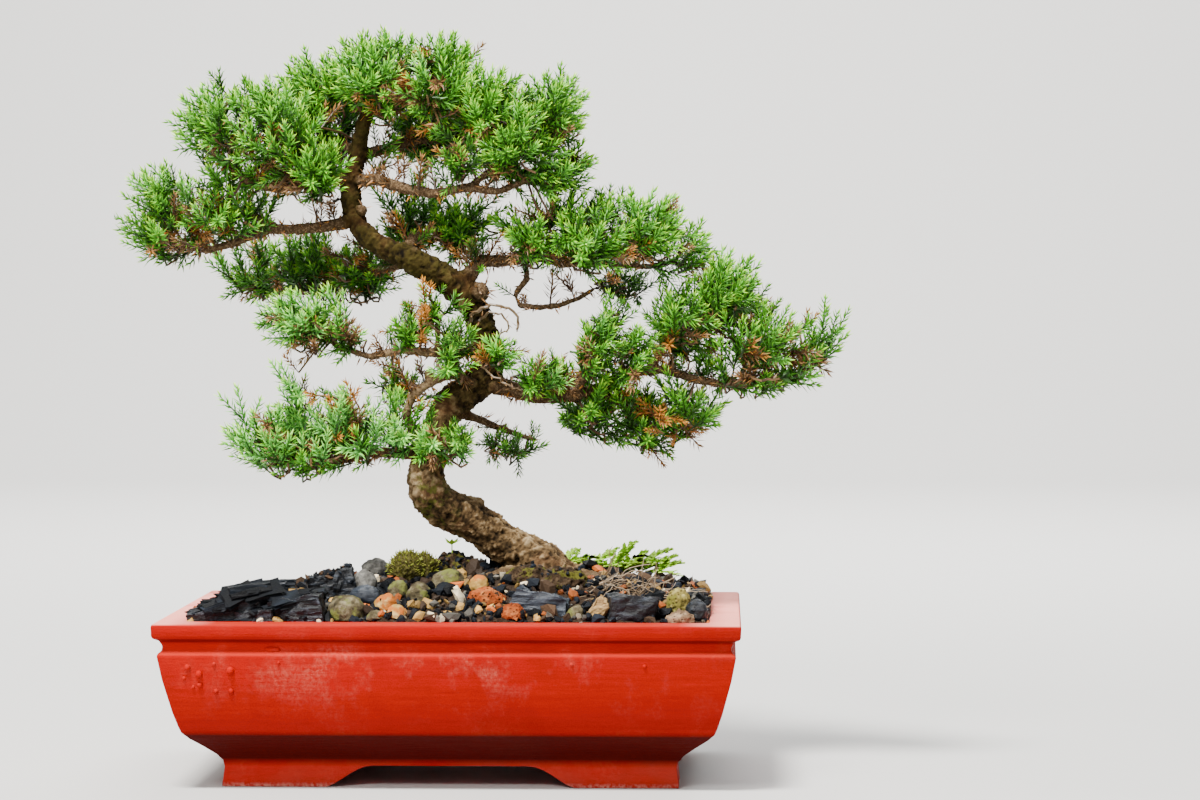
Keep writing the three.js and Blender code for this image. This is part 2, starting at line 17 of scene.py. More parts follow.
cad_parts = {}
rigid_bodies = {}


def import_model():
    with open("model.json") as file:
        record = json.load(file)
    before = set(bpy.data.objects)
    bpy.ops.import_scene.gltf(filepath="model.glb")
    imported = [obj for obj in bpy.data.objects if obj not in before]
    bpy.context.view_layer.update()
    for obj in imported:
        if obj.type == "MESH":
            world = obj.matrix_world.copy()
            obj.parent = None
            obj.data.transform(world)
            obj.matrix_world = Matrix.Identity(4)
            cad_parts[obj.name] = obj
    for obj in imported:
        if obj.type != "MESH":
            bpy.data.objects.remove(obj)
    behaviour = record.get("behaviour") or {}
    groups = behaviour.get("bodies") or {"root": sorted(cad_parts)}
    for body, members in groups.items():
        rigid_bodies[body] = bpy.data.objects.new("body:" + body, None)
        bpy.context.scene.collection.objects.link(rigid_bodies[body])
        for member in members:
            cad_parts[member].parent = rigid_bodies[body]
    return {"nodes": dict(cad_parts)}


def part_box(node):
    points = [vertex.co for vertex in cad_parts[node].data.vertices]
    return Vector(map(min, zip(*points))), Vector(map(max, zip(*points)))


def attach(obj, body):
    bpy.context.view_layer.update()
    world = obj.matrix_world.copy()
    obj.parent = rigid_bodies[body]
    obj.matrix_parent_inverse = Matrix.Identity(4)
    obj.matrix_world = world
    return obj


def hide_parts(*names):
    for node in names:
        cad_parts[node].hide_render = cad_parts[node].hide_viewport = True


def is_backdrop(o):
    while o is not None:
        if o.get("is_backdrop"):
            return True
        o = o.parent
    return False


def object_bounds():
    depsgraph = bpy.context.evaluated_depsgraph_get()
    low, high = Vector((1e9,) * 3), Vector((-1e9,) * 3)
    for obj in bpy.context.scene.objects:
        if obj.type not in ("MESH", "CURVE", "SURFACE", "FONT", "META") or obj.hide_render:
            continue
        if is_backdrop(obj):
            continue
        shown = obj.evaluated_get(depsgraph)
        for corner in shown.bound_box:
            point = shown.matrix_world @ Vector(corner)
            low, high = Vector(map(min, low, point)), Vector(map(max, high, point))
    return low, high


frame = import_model()
nodes = frame["nodes"]
cad_low, cad_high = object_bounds()
cad_box = [list(cad_low), list(cad_high)]

# The pot's middle in the row frame, from the pot's own box.
pot_low, pot_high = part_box("pot")
POT_X = (pot_low[0] + pot_high[0]) / 2
RIM_Z = pot_high[2]
print(len(nodes), "nodes; pot middle at x =", round(POT_X, 4), "rim at", round(RIM_Z, 4))


# %% [markdown]
# ## Small helpers
# A maker's everyday moves: pick one thing up, take a copy of a frame piece to work on, put a
# finished piece in its place.

# %% Helpers for picking up, copying and placing
def only(obj):
    """Selects obj alone and makes it the active one."""
    for other in bpy.context.selected_objects:
        other.select_set(False)
    obj.select_set(True)
    bpy.context.view_layer.objects.active = obj
    return obj


def copy_of(node, name):
    """A copy of a frame node's mesh to work on, with the corners that meet joined up."""
    obj = bpy.data.objects.new(name, nodes[node].data.copy())
    bpy.context.collection.objects.link(obj)
    obj.data.materials.clear()
    only(obj)
    bpy.ops.object.mode_set(mode="EDIT")
    bpy.ops.mesh.select_all(action="SELECT")
    bpy.ops.mesh.remove_doubles(threshold=1e-5)
    bpy.ops.object.mode_set(mode="OBJECT")
    return obj


def apply(obj, kind, **settings):
    """Adds one modifier and applies it at once."""
    only(obj)
    modifier = obj.modifiers.new(kind.title(), kind)
    for key, value in settings.items():
        setattr(modifier, key, value)
    bpy.ops.object.modifier_apply(modifier=modifier.name)
    return obj

print("frame pieces can be picked up, copied and placed")

# %% Helpers for corners and triangles
def points_of(obj):
    """All corners of a mesh as an array of rows."""
    points = np.empty(len(obj.data.vertices) * 3, dtype=np.float32)
    obj.data.vertices.foreach_get("co", points)
    return points.reshape(-1, 3).astype(np.float64)


def normals_of(obj):
    """The way out at each corner, as an array of rows."""
    normals = np.empty(len(obj.data.vertices) * 3, dtype=np.float32)
    obj.data.vertices.foreach_get("normal", normals)
    return normals.reshape(-1, 3).astype(np.float64)


def move_points(obj, points):
    """Puts the mesh's corners at the rows of points."""
    obj.data.vertices.foreach_set("co", np.asarray(points, dtype=np.float32).ravel())
    obj.data.update()


def triangles_of(obj):
    """The mesh's triangles as rows of three corner numbers."""
    obj.data.calc_loop_triangles()
    triangles = np.empty(len(obj.data.loop_triangles) * 3, dtype=np.int32)
    obj.data.loop_triangles.foreach_get("vertices", triangles)
    return triangles.reshape(-1, 3)


def mesh_from(name, points, triangles, tint=None):
    """A new object from rows of corners and triangles. tint is a (u, v) for each corner, kept
    as the piece's map, which its material reads."""
    mesh = bpy.data.meshes.new(name)
    triangles = np.asarray(triangles, dtype=np.int32)
    mesh.vertices.add(len(points))
    mesh.vertices.foreach_set("co", np.asarray(points, dtype=np.float32).ravel())
    mesh.loops.add(triangles.size)
    mesh.loops.foreach_set("vertex_index", triangles.ravel())
    mesh.polygons.add(len(triangles))
    mesh.polygons.foreach_set("loop_start", np.arange(0, triangles.size, 3, dtype=np.int32))
    mesh.update(calc_edges=True)
    if tint is not None:
        layer = mesh.uv_layers.new(name="OFBake")
        corner_tint = np.asarray(tint, dtype=np.float32)[triangles.ravel()]
        layer.data.foreach_set("uv", corner_tint.ravel())
    obj = bpy.data.objects.new(name, mesh)
    bpy.context.collection.objects.link(obj)
    return obj


def place(obj, slot, material, *stands_for, smooth=None):
    """Finishes a piece: its material, its body, and the frame nodes it stands for. slot is not used.
    """
    obj.data.materials.clear()
    obj.data.materials.append(material)
    only(obj)
    if smooth is None:
        bpy.ops.object.shade_flat()
    else:
        bpy.ops.object.shade_smooth_by_angle(angle=math.radians(smooth))
    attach(obj, "root")
    if stands_for:
        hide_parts(*stands_for)
    return obj

print("corners can be read, moved and made into meshes")

# %% Helpers for noise and for rays
def rough(points, scale, octaves=4, seed=0.0):
    """Cloudy noise from about -1 to 1 at each point; scale is the size of a lump, in metres."""
    shift = Vector((seed * 3.1, seed * 7.7, seed * 1.3))
    return np.array(
        [noise.fractal(Vector(p) / scale + shift, 0.9, 2.0, octaves) for p in points]
    )


def surface_of(obj):
    """obj's surface, for rays to hit."""
    return BVHTree.FromObject(obj, bpy.context.evaluated_depsgraph_get())


def height_under(surface, x, y):
    """How high the surface is at x, y, or None where there is none."""
    hit = surface.ray_cast(Vector((x, y, 0.3)), Vector((0, 0, -1)))[0]
    return None if hit is None else hit.z


print("mesh helpers are ready")


# %% [markdown]
# ## Node helpers
# Every finish is worked out from noise and from the piece's own map, so nothing is read from disk.
# Adding nodes by hand takes three lines each, so a small class has one short call for each kind.


# %% Helpers for nodes
class Nodes:
    """Builds up one node tree, each call adding a node and giving back its output."""

    def __init__(self, tree):
        self.tree = tree

    def add(self, kind, inputs=(), output=0, **settings):
        node = self.tree.nodes.new(kind)
        for key, value in settings.items():
            setattr(node, key, value)
        for key, value in dict(inputs).items():
            if hasattr(value, "is_output"):
                self.tree.links.new(value, node.inputs[key])
            else:
                node.inputs[key].default_value = value
        return node.outputs[output]

    def place(self, stretch=(1, 1, 1)):
        coordinates = self.add("ShaderNodeTexCoord", output="Object")
        return self.add("ShaderNodeMapping", {"Vector": coordinates, "Scale": stretch})

    def own_map(self, axis):
        """The piece's own map: its colour number on axis 0, the height in the shoot on axis 1."""
        return self.split(self.add("ShaderNodeUVMap", uv_map="OFBake"), axis)

    def noise(self, vector, scale, detail=5.0, roughness=0.55):
        return self.add(
            "ShaderNodeTexNoise",
            {"Vector": vector, "Scale": scale, "Detail": detail, "Roughness": roughness},
        )

    def cells(self, vector, scale, feature="F1", output="Distance"):
        return self.add(
            "ShaderNodeTexVoronoi", {"Vector": vector, "Scale": scale}, output=output,
            feature=feature,
        )

    def ramp(self, value, stops, interpolation="LINEAR"):
        node = self.tree.nodes.new("ShaderNodeValToRGB")
        self.tree.links.new(value, node.inputs[0])
        node.color_ramp.interpolation = interpolation
        while len(node.color_ramp.elements) < len(stops):
            node.color_ramp.elements.new(0.5)
        for element, (position, colour) in zip(node.color_ramp.elements, stops):
            element.position = position
            element.color = (*colour, 1)
        return node.outputs[0]

    def mask(self, value, low, high):
        """0 below low and 1 above high."""
        return self.add(
            "ShaderNodeMapRange", {"Value": value, "From Min": low, "From Max": high}, clamp=True
        )

    def mix(self, amount, a, b, blend="MIX"):
        node = self.tree.nodes.new("ShaderNodeMix")
        node.data_type = "RGBA"
        node.blend_type = blend
        for index, value in ((0, amount), (6, a), (7, b)):
            if hasattr(value, "is_output"):
                self.tree.links.new(value, node.inputs[index])
            elif index == 0:
                node.inputs[index].default_value = value
            else:
                node.inputs[index].default_value = (*value, 1)
        return node.outputs[2]

    def math(self, operation, a, b=0.0):
        return self.add("ShaderNodeMath", {0: a, 1: b}, operation=operation, use_clamp=False)

    def both(self, a, b):
        return self.math("MULTIPLY", a, b)

    def weighted(self, a, share_a, b, share_b=1.0):
        """a and b added up, each by its share."""
        if share_b != 1.0:
            b = self.both(b, share_b)
        return self.math("ADD", self.both(a, share_a), b)

    def wash(self, base, mask, amount, colour):
        """Lays a colour over base where the mask is, at most by amount."""
        return self.mix(self.both(mask, amount), base, colour)

    def band(self, value, outer_low, inner_low, inner_high, outer_high):
        """1 between the inner values, fading to 0 at the outer ones."""
        return self.both(
            self.mask(value, outer_low, inner_low), self.mask(value, outer_high, inner_high)
        )

    def split(self, vector, axis):
        return self.add("ShaderNodeSeparateXYZ", {0: vector}, output=axis)


class Effect(Nodes):
    """A node group with named inputs and outputs, built once and placed in many materials."""

    def __init__(self, name, inputs):
        super().__init__(bpy.data.node_groups.new(name, "ShaderNodeTree"))
        for title, kind in inputs.items():
            self.tree.interface.new_socket(title, in_out="INPUT", socket_type=kind)
        self.inputs = self.tree.nodes.new("NodeGroupInput").outputs

    def gives(self, **results):
        """Names the group's outputs and joins each to its result."""
        for title in results:
            self.tree.interface.new_socket(title, in_out="OUTPUT", socket_type="NodeSocketFloat")
        output = self.tree.nodes.new("NodeGroupOutput")
        for title, result in results.items():
            self.tree.links.new(result, output.inputs[title])
        return self

    def placed_in(self, paint, **values):
        """Puts the group in a material with its own values and gives back its outputs."""
        node = paint.tree.nodes.new("ShaderNodeGroup")
        node.node_tree = self.tree
        for title, value in values.items():
            if hasattr(value, "is_output"):
                paint.tree.links.new(value, node.inputs[title])
            else:
                node.inputs[title].default_value = value
        return node.outputs


def drawn_out_effect():
    """Noise drawn out one way: a brush's strokes, split wood's grain, slate's layers."""
    effect = Effect("drawn_out_grain", {"Place": "NodeSocketVector"})
    return effect.gives(Lines=effect.noise(effect.inputs["Place"], 1.0, 7, 0.68))


class Paint(Nodes):
    """One material: its nodes and its shader."""

    def __init__(self, name):
        self.material = bpy.data.materials.new(name)
        self.material.use_nodes = True
        super().__init__(self.material.node_tree)
        self.shader = self.tree.nodes["Principled BSDF"]

    def finish(self, colour, roughness, height=None, depth=0.001, strength=1.0, **constants):
        """Joins up the shader; height is the bump, depth in metres."""
        self.tree.links.new(colour, self.shader.inputs["Base Color"])
        if hasattr(roughness, "is_output"):
            self.tree.links.new(roughness, self.shader.inputs["Roughness"])
        else:
            self.shader.inputs["Roughness"].default_value = roughness
        if height is not None:
            bump = self.add(
                "ShaderNodeBump", {"Height": height, "Distance": depth, "Strength": strength}
            )
            self.tree.links.new(bump, self.shader.inputs["Normal"])
        # Nothing here is polished, so the shine is far below the shader's own 0.5.
        constants.setdefault("Specular_IOR_Level", 0.09)
        for key, value in constants.items():
            self.shader.inputs[key.replace("_", " ")].default_value = value
        return self.material


DRAWN_OUT = drawn_out_effect()
print("node helpers are ready; shared effect:", DRAWN_OUT.tree.name)


# %% [markdown]
# ## Pot
# The pot is a fired or cast box with four corner feet. Its wall swells out from an undercut above
# the feet to a moulding under a square lip, and it is brushed with matte red-orange paint. It could
# be turned on no wheel, so it is drawn as its makers cast it: one rectangle pulled up through the
# levels of the wall, a hollow inside, then the arches, the recess and the drain holes cut away.


# %% The pot's body
# The wall's outline: how far in from the pot's box, and how high, in millimetres.
WALL = (
    (31.8, 0), (32, 2.5), (33, 10), (32.4, 13.4), (29.4, 17.1), (23, 22.2), (17, 26.6),
    (13.5, 30), (12.2, 33), (9.5, 41), (5, 58), (2.8, 69.5), (2.6, 71), (5, 73.2),
    (5.2, 75.5), (3.6, 78.2), (0.9, 79.5), (0.2, 80.4), (0, 86.0), (0.9, 87),
)
HOLLOW = ((38, 22), (24, 35), (17, 60), (13, 100))
POT_HALF_X = (pot_high[0] - pot_low[0]) / 2
POT_HALF_Y = (pot_high[1] - pot_low[1]) / 2


def drawn_up(name, levels):
    """A closed block: a rectangle pulled up through levels of (inset, height) in millimetres."""
    inset, height = levels[0]
    bpy.ops.mesh.primitive_plane_add(size=2, location=(POT_X, 0, height / 1000))
    obj = bpy.context.object
    obj.name = name
    bpy.ops.object.mode_set(mode="EDIT")
    bpy.ops.mesh.select_all(action="SELECT")
    half = (POT_HALF_X - inset / 1000, POT_HALF_Y - inset / 1000)
    bpy.ops.transform.resize(value=(half[0], half[1], 1))
    for inset, height in levels[1:]:
        bpy.ops.mesh.extrude_region_move()
        new_half = (POT_HALF_X - inset / 1000, POT_HALF_Y - inset / 1000)
        bpy.ops.transform.resize(
            value=(new_half[0] / half[0], new_half[1] / half[1], 1),
            center_override=(POT_X, 0, 0),
        )
        mesh = bmesh.from_edit_mesh(obj.data)
        for vertex in mesh.verts:
            if vertex.select:
                vertex.co.z = height / 1000
        bmesh.update_edit_mesh(obj.data)
        half = new_half
    bpy.ops.mesh.select_all(action="SELECT")
    bpy.ops.mesh.normals_make_consistent(inside=False)
    bpy.ops.object.mode_set(mode="OBJECT")
    bpy.ops.object.transform_apply(location=True, rotation=True, scale=True)
    return obj


ARCH_TOP = 0.011


def arch_cutter(name, half_opening, half_top, half_length, turned):
    """The air between two feet: flat on top, with a rounded shoulder down to each foot."""
    outline = [(-half_opening, -0.005), (-half_opening, 0.0)]
    for step in range(1, 7):
        turn = step / 6
        along = -half_opening + (half_opening - half_top) * turn
        outline.append((along, ARCH_TOP * math.sin(turn * math.pi / 2) ** 1.4))
    outline += [(-x, z) for x, z in reversed(outline)]
    mesh = bmesh.new()
    ends = []
    for y in (-half_length, half_length):
        ring = [mesh.verts.new((x, y, z)) for x, z in outline]
        ends.append(ring)
    count = len(outline)
    mesh.faces.new(ends[0])
    mesh.faces.new(list(reversed(ends[1])))
    for i in range(count):
        j = (i + 1) % count
        mesh.faces.new((ends[0][j], ends[0][i], ends[1][i], ends[1][j]))
    bmesh.ops.recalc_face_normals(mesh, faces=mesh.faces)
    if turned:
        bmesh.ops.rotate(mesh, verts=mesh.verts, matrix=Matrix.Rotation(math.pi / 2, 3, "Z"))
    bmesh.ops.translate(mesh, verts=mesh.verts, vec=(POT_X, 0, 0))
    data = bpy.data.meshes.new(name)
    mesh.to_mesh(data)
    mesh.free()
    obj = bpy.data.objects.new(name, data)
    bpy.context.collection.objects.link(obj)
    return obj


def cut(obj, cutter):
    """Takes the cutter's shape away from obj."""
    apply(obj, "BOOLEAN", operation="DIFFERENCE", object=cutter, solver="EXACT")
    bpy.data.objects.remove(cutter)


pot = drawn_up("pot_body", WALL)
print("the pot's outside:", len(pot.data.polygons), "faces")

# %% [markdown]
# The hollow, the recess under the floor, the arches between the feet and the drain holes are each
# cut away with a block of their shape, as a potter cuts leather-hard clay. Cutting keeps the wall
# one closed body, which joined-up pieces wouldn't be.

# %% Cutting the pot
cut(pot, drawn_up("hollow", HOLLOW))
cut(pot, drawn_up("recess", ((45, -5), (46, 11))))
cut(pot, arch_cutter("long_arch", 0.064, 0.040, 0.12, False))
cut(pot, arch_cutter("short_arch", 0.038, 0.022, 0.17, True))
for side in (-1, 1):
    bpy.ops.mesh.primitive_cylinder_add(
        vertices=24, radius=0.009, depth=0.04, location=(POT_X + side * 0.058, 0, 0.022)
    )
    cut(pot, bpy.context.object)
apply(pot, "BEVEL", width=0.0011, segments=2, limit_method="ANGLE", angle_limit=math.radians(35))
print("pot:", len(pot.data.polygons), "faces")

# %% [markdown]
# Paint ran and dried in a few beads near the front left corner, under the moulding. Each is a
# flattened drop, so each is a small ball pressed against the wall.

# %% Dried beads of paint
# x from the pot's middle and height in metres, radius in millimetres; the last is a drip in the
# hollow moulding, drawn out along it.
BEADS = (
    (-0.1317, 0.0646, 1.5), (-0.1259, 0.0611, 1.6), (-0.1256, 0.0556, 1.3), (-0.1175, 0.0523, 1.1),
    (-0.1097, 0.0630, 1.7), (-0.1097, 0.0523, 1.3), (-0.1180, 0.0665, 0.9), (-0.1335, 0.0590, 0.9),
    (-0.1290, 0.0545, 0.8), (0.0640, 0.0668, 0.8), (0.1010, 0.0660, 0.9), (-0.0850, 0.0672, 0.7),
    (-0.0884, 0.0738, 1.8),
)
pot_surface = surface_of(pot)
bead_objects = []
for x, z, radius in BEADS:
    hit, normal, _, _ = pot_surface.ray_cast(Vector((POT_X + x, -0.3, z)), Vector((0, 1, 0)))
    bpy.ops.mesh.primitive_ico_sphere_add(subdivisions=2, radius=radius / 1000, location=hit)
    bead = bpy.context.object
    bead.scale = (2.4, 0.8, 0.8) if z > 0.07 else (1.15, 1.15, 1.3)
    bpy.ops.object.transform_apply(location=True, rotation=True, scale=True)
    bead_objects.append(bead)
only(pot)
for bead in bead_objects:
    bead.select_set(True)
bpy.ops.object.join()
print("pot with beads:", len(pot.data.polygons), "faces")

# %% [markdown]
# The paint is matte, brushed along the pot, and has bloomed chalky in the upper middle of the
# walls. Wear follows the shape: pale on the lip's top and the feet's edges. Shade is painted in too:
# dark under the belly and in a line under the lip, with painted highlights on the lip's top and the
# step. Each of these is a mask worked out from height and noise, mixed over the brushed colour.

# %% The paint's brushed colour and its bloom
paint = Paint("red_orange_paint")
strokes = DRAWN_OUT.placed_in(paint, Place=paint.place((34, 34, 520)))["Lines"]
streaky = paint.noise(paint.place((36, 36, 700)), 1.0, 6, 0.7)
blotches = paint.noise(paint.place(), 26, 4, 0.55)
chalk_cloud = paint.noise(paint.place((1, 1, 0.75)), 34, 10, 0.70)
chalk_grain = paint.noise(paint.place((1, 1, 0.8)), 620, 5, 0.72)
height_z = paint.split(paint.place(), 2)
off_centre = paint.math("ABSOLUTE", paint.math("SUBTRACT", paint.split(paint.place(), 0), POT_X))
base = paint.ramp(
    strokes,
    [(0.28, (0.285, 0.0020, 0.0002)), (0.45, (0.325, 0.0024, 0.0002)), (0.6, (0.35, 0.0030, 0.0003)),
     (0.78, (0.40, 0.0060, 0.0012))],
)
base = paint.mix(paint.mask(blotches, 0.5, 0.75), base, (0.26, 0.003, 0.0007))
bloom = paint.both(
    paint.band(height_z, 0.035, 0.066, 0.070, 0.0765), paint.mask(off_centre, 0.15, 0.02)
)
bloom = paint.weighted(bloom, 0.9, 0.22)
bloom = paint.both(bloom, paint.mask(chalk_cloud, 0.50, 0.64))
chalk_left = paint.weighted(streaky, 0.30, chalk_grain, 0.70)
bloom = paint.both(bloom, paint.mask(chalk_left, 0.40, 0.60))
base = paint.wash(base, bloom, 0.55, (0.56, 0.14, 0.095))
print("brushed paint:", len(paint.tree.nodes), "nodes")

# %% [markdown]
# The wear, the painted shade and the painted highlights run in bands at fixed heights round the pot.
# They could be painted on a map by hand, but a mask on height keeps them level and lines them up
# with the mouldings they belong to.

# %% Wear, grime, painted shade and painted highlights on the pot
# The feet are dusty and their lower edge is chipped pale. The step under the moulding is painted
# paler, partly wear and partly a painted highlight where it faces up to the light.
foot_dust = paint.both(paint.mask(height_z, 0.0150, 0.0125), paint.mask(blotches, 0.25, 0.65))
base = paint.wash(base, foot_dust, 0.60, (0.33, 0.034, 0.022))
foot_wear = paint.both(paint.mask(height_z, 0.0026, 0.0006), paint.mask(chalk_grain, 0.44, 0.58))
base = paint.wash(base, foot_wear, 0.60, (0.60, 0.26, 0.20))
# The step's paler band is partly wear and partly a painted highlight.
step = paint.band(height_z, 0.0704, 0.0712, 0.0728, 0.0738)
base = paint.wash(base, step, 0.22, (0.46, 0.040, 0.018))
# Under the belly the paint is painted near black as shade, and the wall just above is painted darker
# as shade that fades upwards.
painted_belly_shade = paint.band(height_z, 0.0105, 0.0150, 0.0285, 0.0315)
base = paint.wash(base, painted_belly_shade, 0.92, (0.024, 0.0007, 0.0002))
painted_low_wall_shade = paint.band(height_z, 0.0285, 0.0315, 0.036, 0.056)
base = paint.wash(base, painted_low_wall_shade, 0.45, (0.16, 0.0016, 0.0003))
# The lip's face is darker, and under the lip a dark line is painted: partly grime settled in the
# corner and partly the lip's painted shadow.
lip_front = paint.band(height_z, 0.0790, 0.0805, 0.0860, 0.0868)
base = paint.wash(base, lip_front, 0.50, (0.20, 0.0012, 0.0001))
lip_shadow_and_grime_line = paint.band(height_z, 0.0768, 0.0780, 0.0790, 0.0798)
base = paint.wash(base, lip_shadow_and_grime_line, 0.65, (0.045, 0.0009, 0.0002))
# Sun and hands have worn the top of the lip pale, most of all at the ends, and the paleness is also a
# painted highlight on the top that faces the light.
lip_top_wear_and_highlight = paint.both(paint.mask(height_z, 0.0862, 0.0869), paint.mask(blotches, 0.20, 0.50))
base = paint.wash(base, lip_top_wear_and_highlight, 0.75, (0.36, 0.022, 0.010))
lip_ends_wear_and_highlight = paint.both(lip_top_wear_and_highlight, paint.mask(off_centre, 0.118, 0.143))
base = paint.wash(base, lip_ends_wear_and_highlight, 0.75, (0.90, 0.34, 0.27))
# A few small pits have opened in the paint.
PIT_SCALE = 420
pits = paint.mask(paint.cells(paint.place(), PIT_SCALE), 0.10, 0.06)
rare = paint.mask(paint.cells(paint.place(), PIT_SCALE, output="Color"), 0.80, 0.82)
base = paint.wash(base, paint.both(pits, rare), 0.75, (0.12, 0.008, 0.003))
relief = paint.weighted(strokes, 0.8, paint.noise(paint.place(), 1500, 3, 0.6), 0.55)
relief = paint.math("ADD", relief, paint.both(blotches, 0.6))
pot_paint = paint.finish(
    base, paint.ramp(streaky, [(0.3, (0.50,) * 3), (0.7, (0.68,) * 3)]), relief, 0.00055, 0.9,
    Specular_IOR_Level=0.05,
)
print("finished paint:", len(paint.tree.nodes), "nodes")
place(pot, "pot_paint", pot_paint, "pot", smooth=32)

# %% [markdown]
# ## Drain screens
# A square of black plastic mesh lies over each drain hole to hold the soil in. The frame's own
# crossed strips are the right shape, so they stay and only get their moulded plastic finish.

# %% Screen plastic
plastic = Paint("screen_plastic")
haze = plastic.noise(plastic.place(), 900, 3)
screen_plastic = plastic.finish(
    plastic.ramp(haze, [(0.3, (0.010, 0.010, 0.011)), (0.8, (0.028, 0.027, 0.026))]),
    0.5, haze, 0.0001,
)
for node in ("drain_screen_left", "drain_screen_right"):
    nodes[node].data.materials.clear()
    nodes[node].data.materials.append(screen_plastic)
print("drain screens have their plastic")


# %% [markdown]
# ## Soil
# A dark, crumbly mix of bark and compost fills the pot and is heaped under the trunk. It starts
# from the frame's block, gets a fine even skin, and its top is then crumbled with noise.


# %% The soil and its crumbs
SKIN_GAP = 0.0022


def crumbled(obj, voxel, amounts, seed, smoothing=2):
    """Gives obj an even skin and moves it in and out along its normals. amounts are pairs of
    (lump size, height) in metres."""
    apply(obj, "REMESH", mode="VOXEL", voxel_size=voxel, use_smooth_shade=False)
    if smoothing:
        apply(obj, "SMOOTH", factor=0.5, iterations=smoothing)
    points, normals = points_of(obj), normals_of(obj)
    for index, (size, amount) in enumerate(amounts):
        points += normals * (rough(points, size, 4, seed + index) * amount)[:, None]
    move_points(obj, points)
    return obj


soil = copy_of("soil", "soil_mix")
apply(soil, "REMESH", mode="VOXEL", voxel_size=SKIN_GAP, use_smooth_shade=False)
soil_points, soil_normals = points_of(soil), normals_of(soil)
top = (soil_normals[:, 2] > 0.3) & (soil_points[:, 2] > 0.078)
soil_points[top, 2] += rough(soil_points[top], 0.009, 5, 3) * 0.0016
move_points(soil, soil_points)
earth = Paint("bark_mix_soil")
clumps = earth.noise(earth.place(), 260, 6, 0.65)
crumbs = earth.cells(earth.place(), 900)
soil_material = earth.finish(
    earth.mix(
        earth.mask(crumbs, 0.25, 0.6),
        earth.ramp(clumps, [(0.3, (0.006, 0.004, 0.003)), (0.55, (0.022, 0.013, 0.008)),
                            (0.75, (0.070, 0.042, 0.024))]),
        (0.030, 0.019, 0.012),
    ),
    0.92, crumbs, 0.001,
)
place(soil, "soil", soil_material, "soil")
soil_surface = surface_of(soil)
print("soil:", len(soil.data.polygons), "faces")


# %% [markdown]
# The whole surface is strewn with angular crumbs of charcoal, with grains of ochre, rust and grey
# grit among them. A few shapes of crumb are chipped once, and each grain on the soil is a copy of
# one of them, turned and sized at random and dropped onto the soil below it.


# %% Collecting small shapes
class Growth:
    """Collects small shapes into one mesh, with a map of (colour number, shade) for each corner."""

    def __init__(self):
        self.points, self.triangles, self.tint, self.total = [], [], [], 0

    def add_mapped(self, points, triangles, tint):
        self.points.append(points)
        self.triangles.append(triangles + self.total)
        self.tint.append(tint)
        self.total += len(points)

    def add(self, points, triangles, tone, heights):
        """A plant's shape: one tone all over, and its corners' heights in the shoot as shades."""
        tint = np.empty((len(points), 2))
        tint[:, 0] = tone + np.linspace(-0.006, 0.006, len(points))
        tint[:, 1] = np.clip(heights, 0.01, 0.99)
        self.add_mapped(points, triangles, tint)

    def arrays(self):
        return np.concatenate(self.points), np.concatenate(self.triangles), np.concatenate(self.tint)


def turned(random, count):
    """Random turns as a stack of 3 x 3 matrices."""
    quaternions = random.normal(size=(count, 4))
    quaternions /= np.linalg.norm(quaternions, axis=1)[:, None]
    w, x, y, z = quaternions.T
    rows = (
        (1 - 2 * (y * y + z * z), 2 * (x * y - z * w), 2 * (x * z + y * w)),
        (2 * (x * y + z * w), 1 - 2 * (x * x + z * z), 2 * (y * z - x * w)),
        (2 * (x * z - y * w), 2 * (y * z + x * w), 1 - 2 * (x * x + y * y)),
    )
    return np.stack([np.stack(row, -1) for row in rows], axis=1)


print("grains can be collected")


# %% Chipping and strewing the grains
def chipped_grain(seed):
    """One angular crumb about 1 unit across, as rows of corners and triangles."""
    random = np.random.default_rng(seed)
    bpy.ops.mesh.primitive_ico_sphere_add(subdivisions=1, radius=0.5, location=(0, 0, 0))
    grain = bpy.context.object
    points = points_of(grain)
    points *= random.uniform(0.62, 1.2, size=(len(points), 1))
    points *= np.array([1.25, 0.85, 0.7])
    triangles = triangles_of(grain)
    bpy.data.objects.remove(grain)
    return points, triangles


# Half the length and half the width of the soil that the grains may cover.
SOIL_HALF_X, SOIL_HALF_Y = 0.1365, 0.0915
GRAIN_SHAPES = [chipped_grain(seed) for seed in range(9)]


def strewn(name, count, seed, sizes, sink):
    """Grains dropped onto the soil. sizes is (smallest, largest), sink how deep they sit."""
    random = np.random.default_rng(seed)
    grains, made = Growth(), 0
    turns = turned(random, count * 2)
    for attempt in range(count * 2):
        x = POT_X + random.uniform(-0.1355, 0.1355)
        y = random.uniform(-0.0905, 0.0905)
        size = sizes[0] + (sizes[1] - sizes[0]) * random.random() ** 2.2
        if abs(x - POT_X) > SOIL_HALF_X - size * 0.55 or abs(y) > SOIL_HALF_Y - size * 0.55:
            continue
        ground = height_under(soil_surface, x, y)
        if ground is None:
            continue
        points, triangles = GRAIN_SHAPES[attempt % len(GRAIN_SHAPES)]
        stretch = random.uniform(0.75, 1.25, size=3)
        shape = (points * stretch * size) @ turns[attempt].T
        shape += np.array([x, y, ground + size * (0.25 - sink)])
        number = grit_tone(random) + random.uniform(-0.004, 0.004, len(shape))
        shade = random.uniform(0.02, 0.98) * 0.75 + random.uniform(0, 0.24, len(shape))
        grains.add_mapped(shape, triangles, np.column_stack([number, shade]))
        made += 1
        if made == count:
            break
    print(name + ":", made, "grains,", grains.total, "corners")
    return mesh_from(name, *grains.arrays())


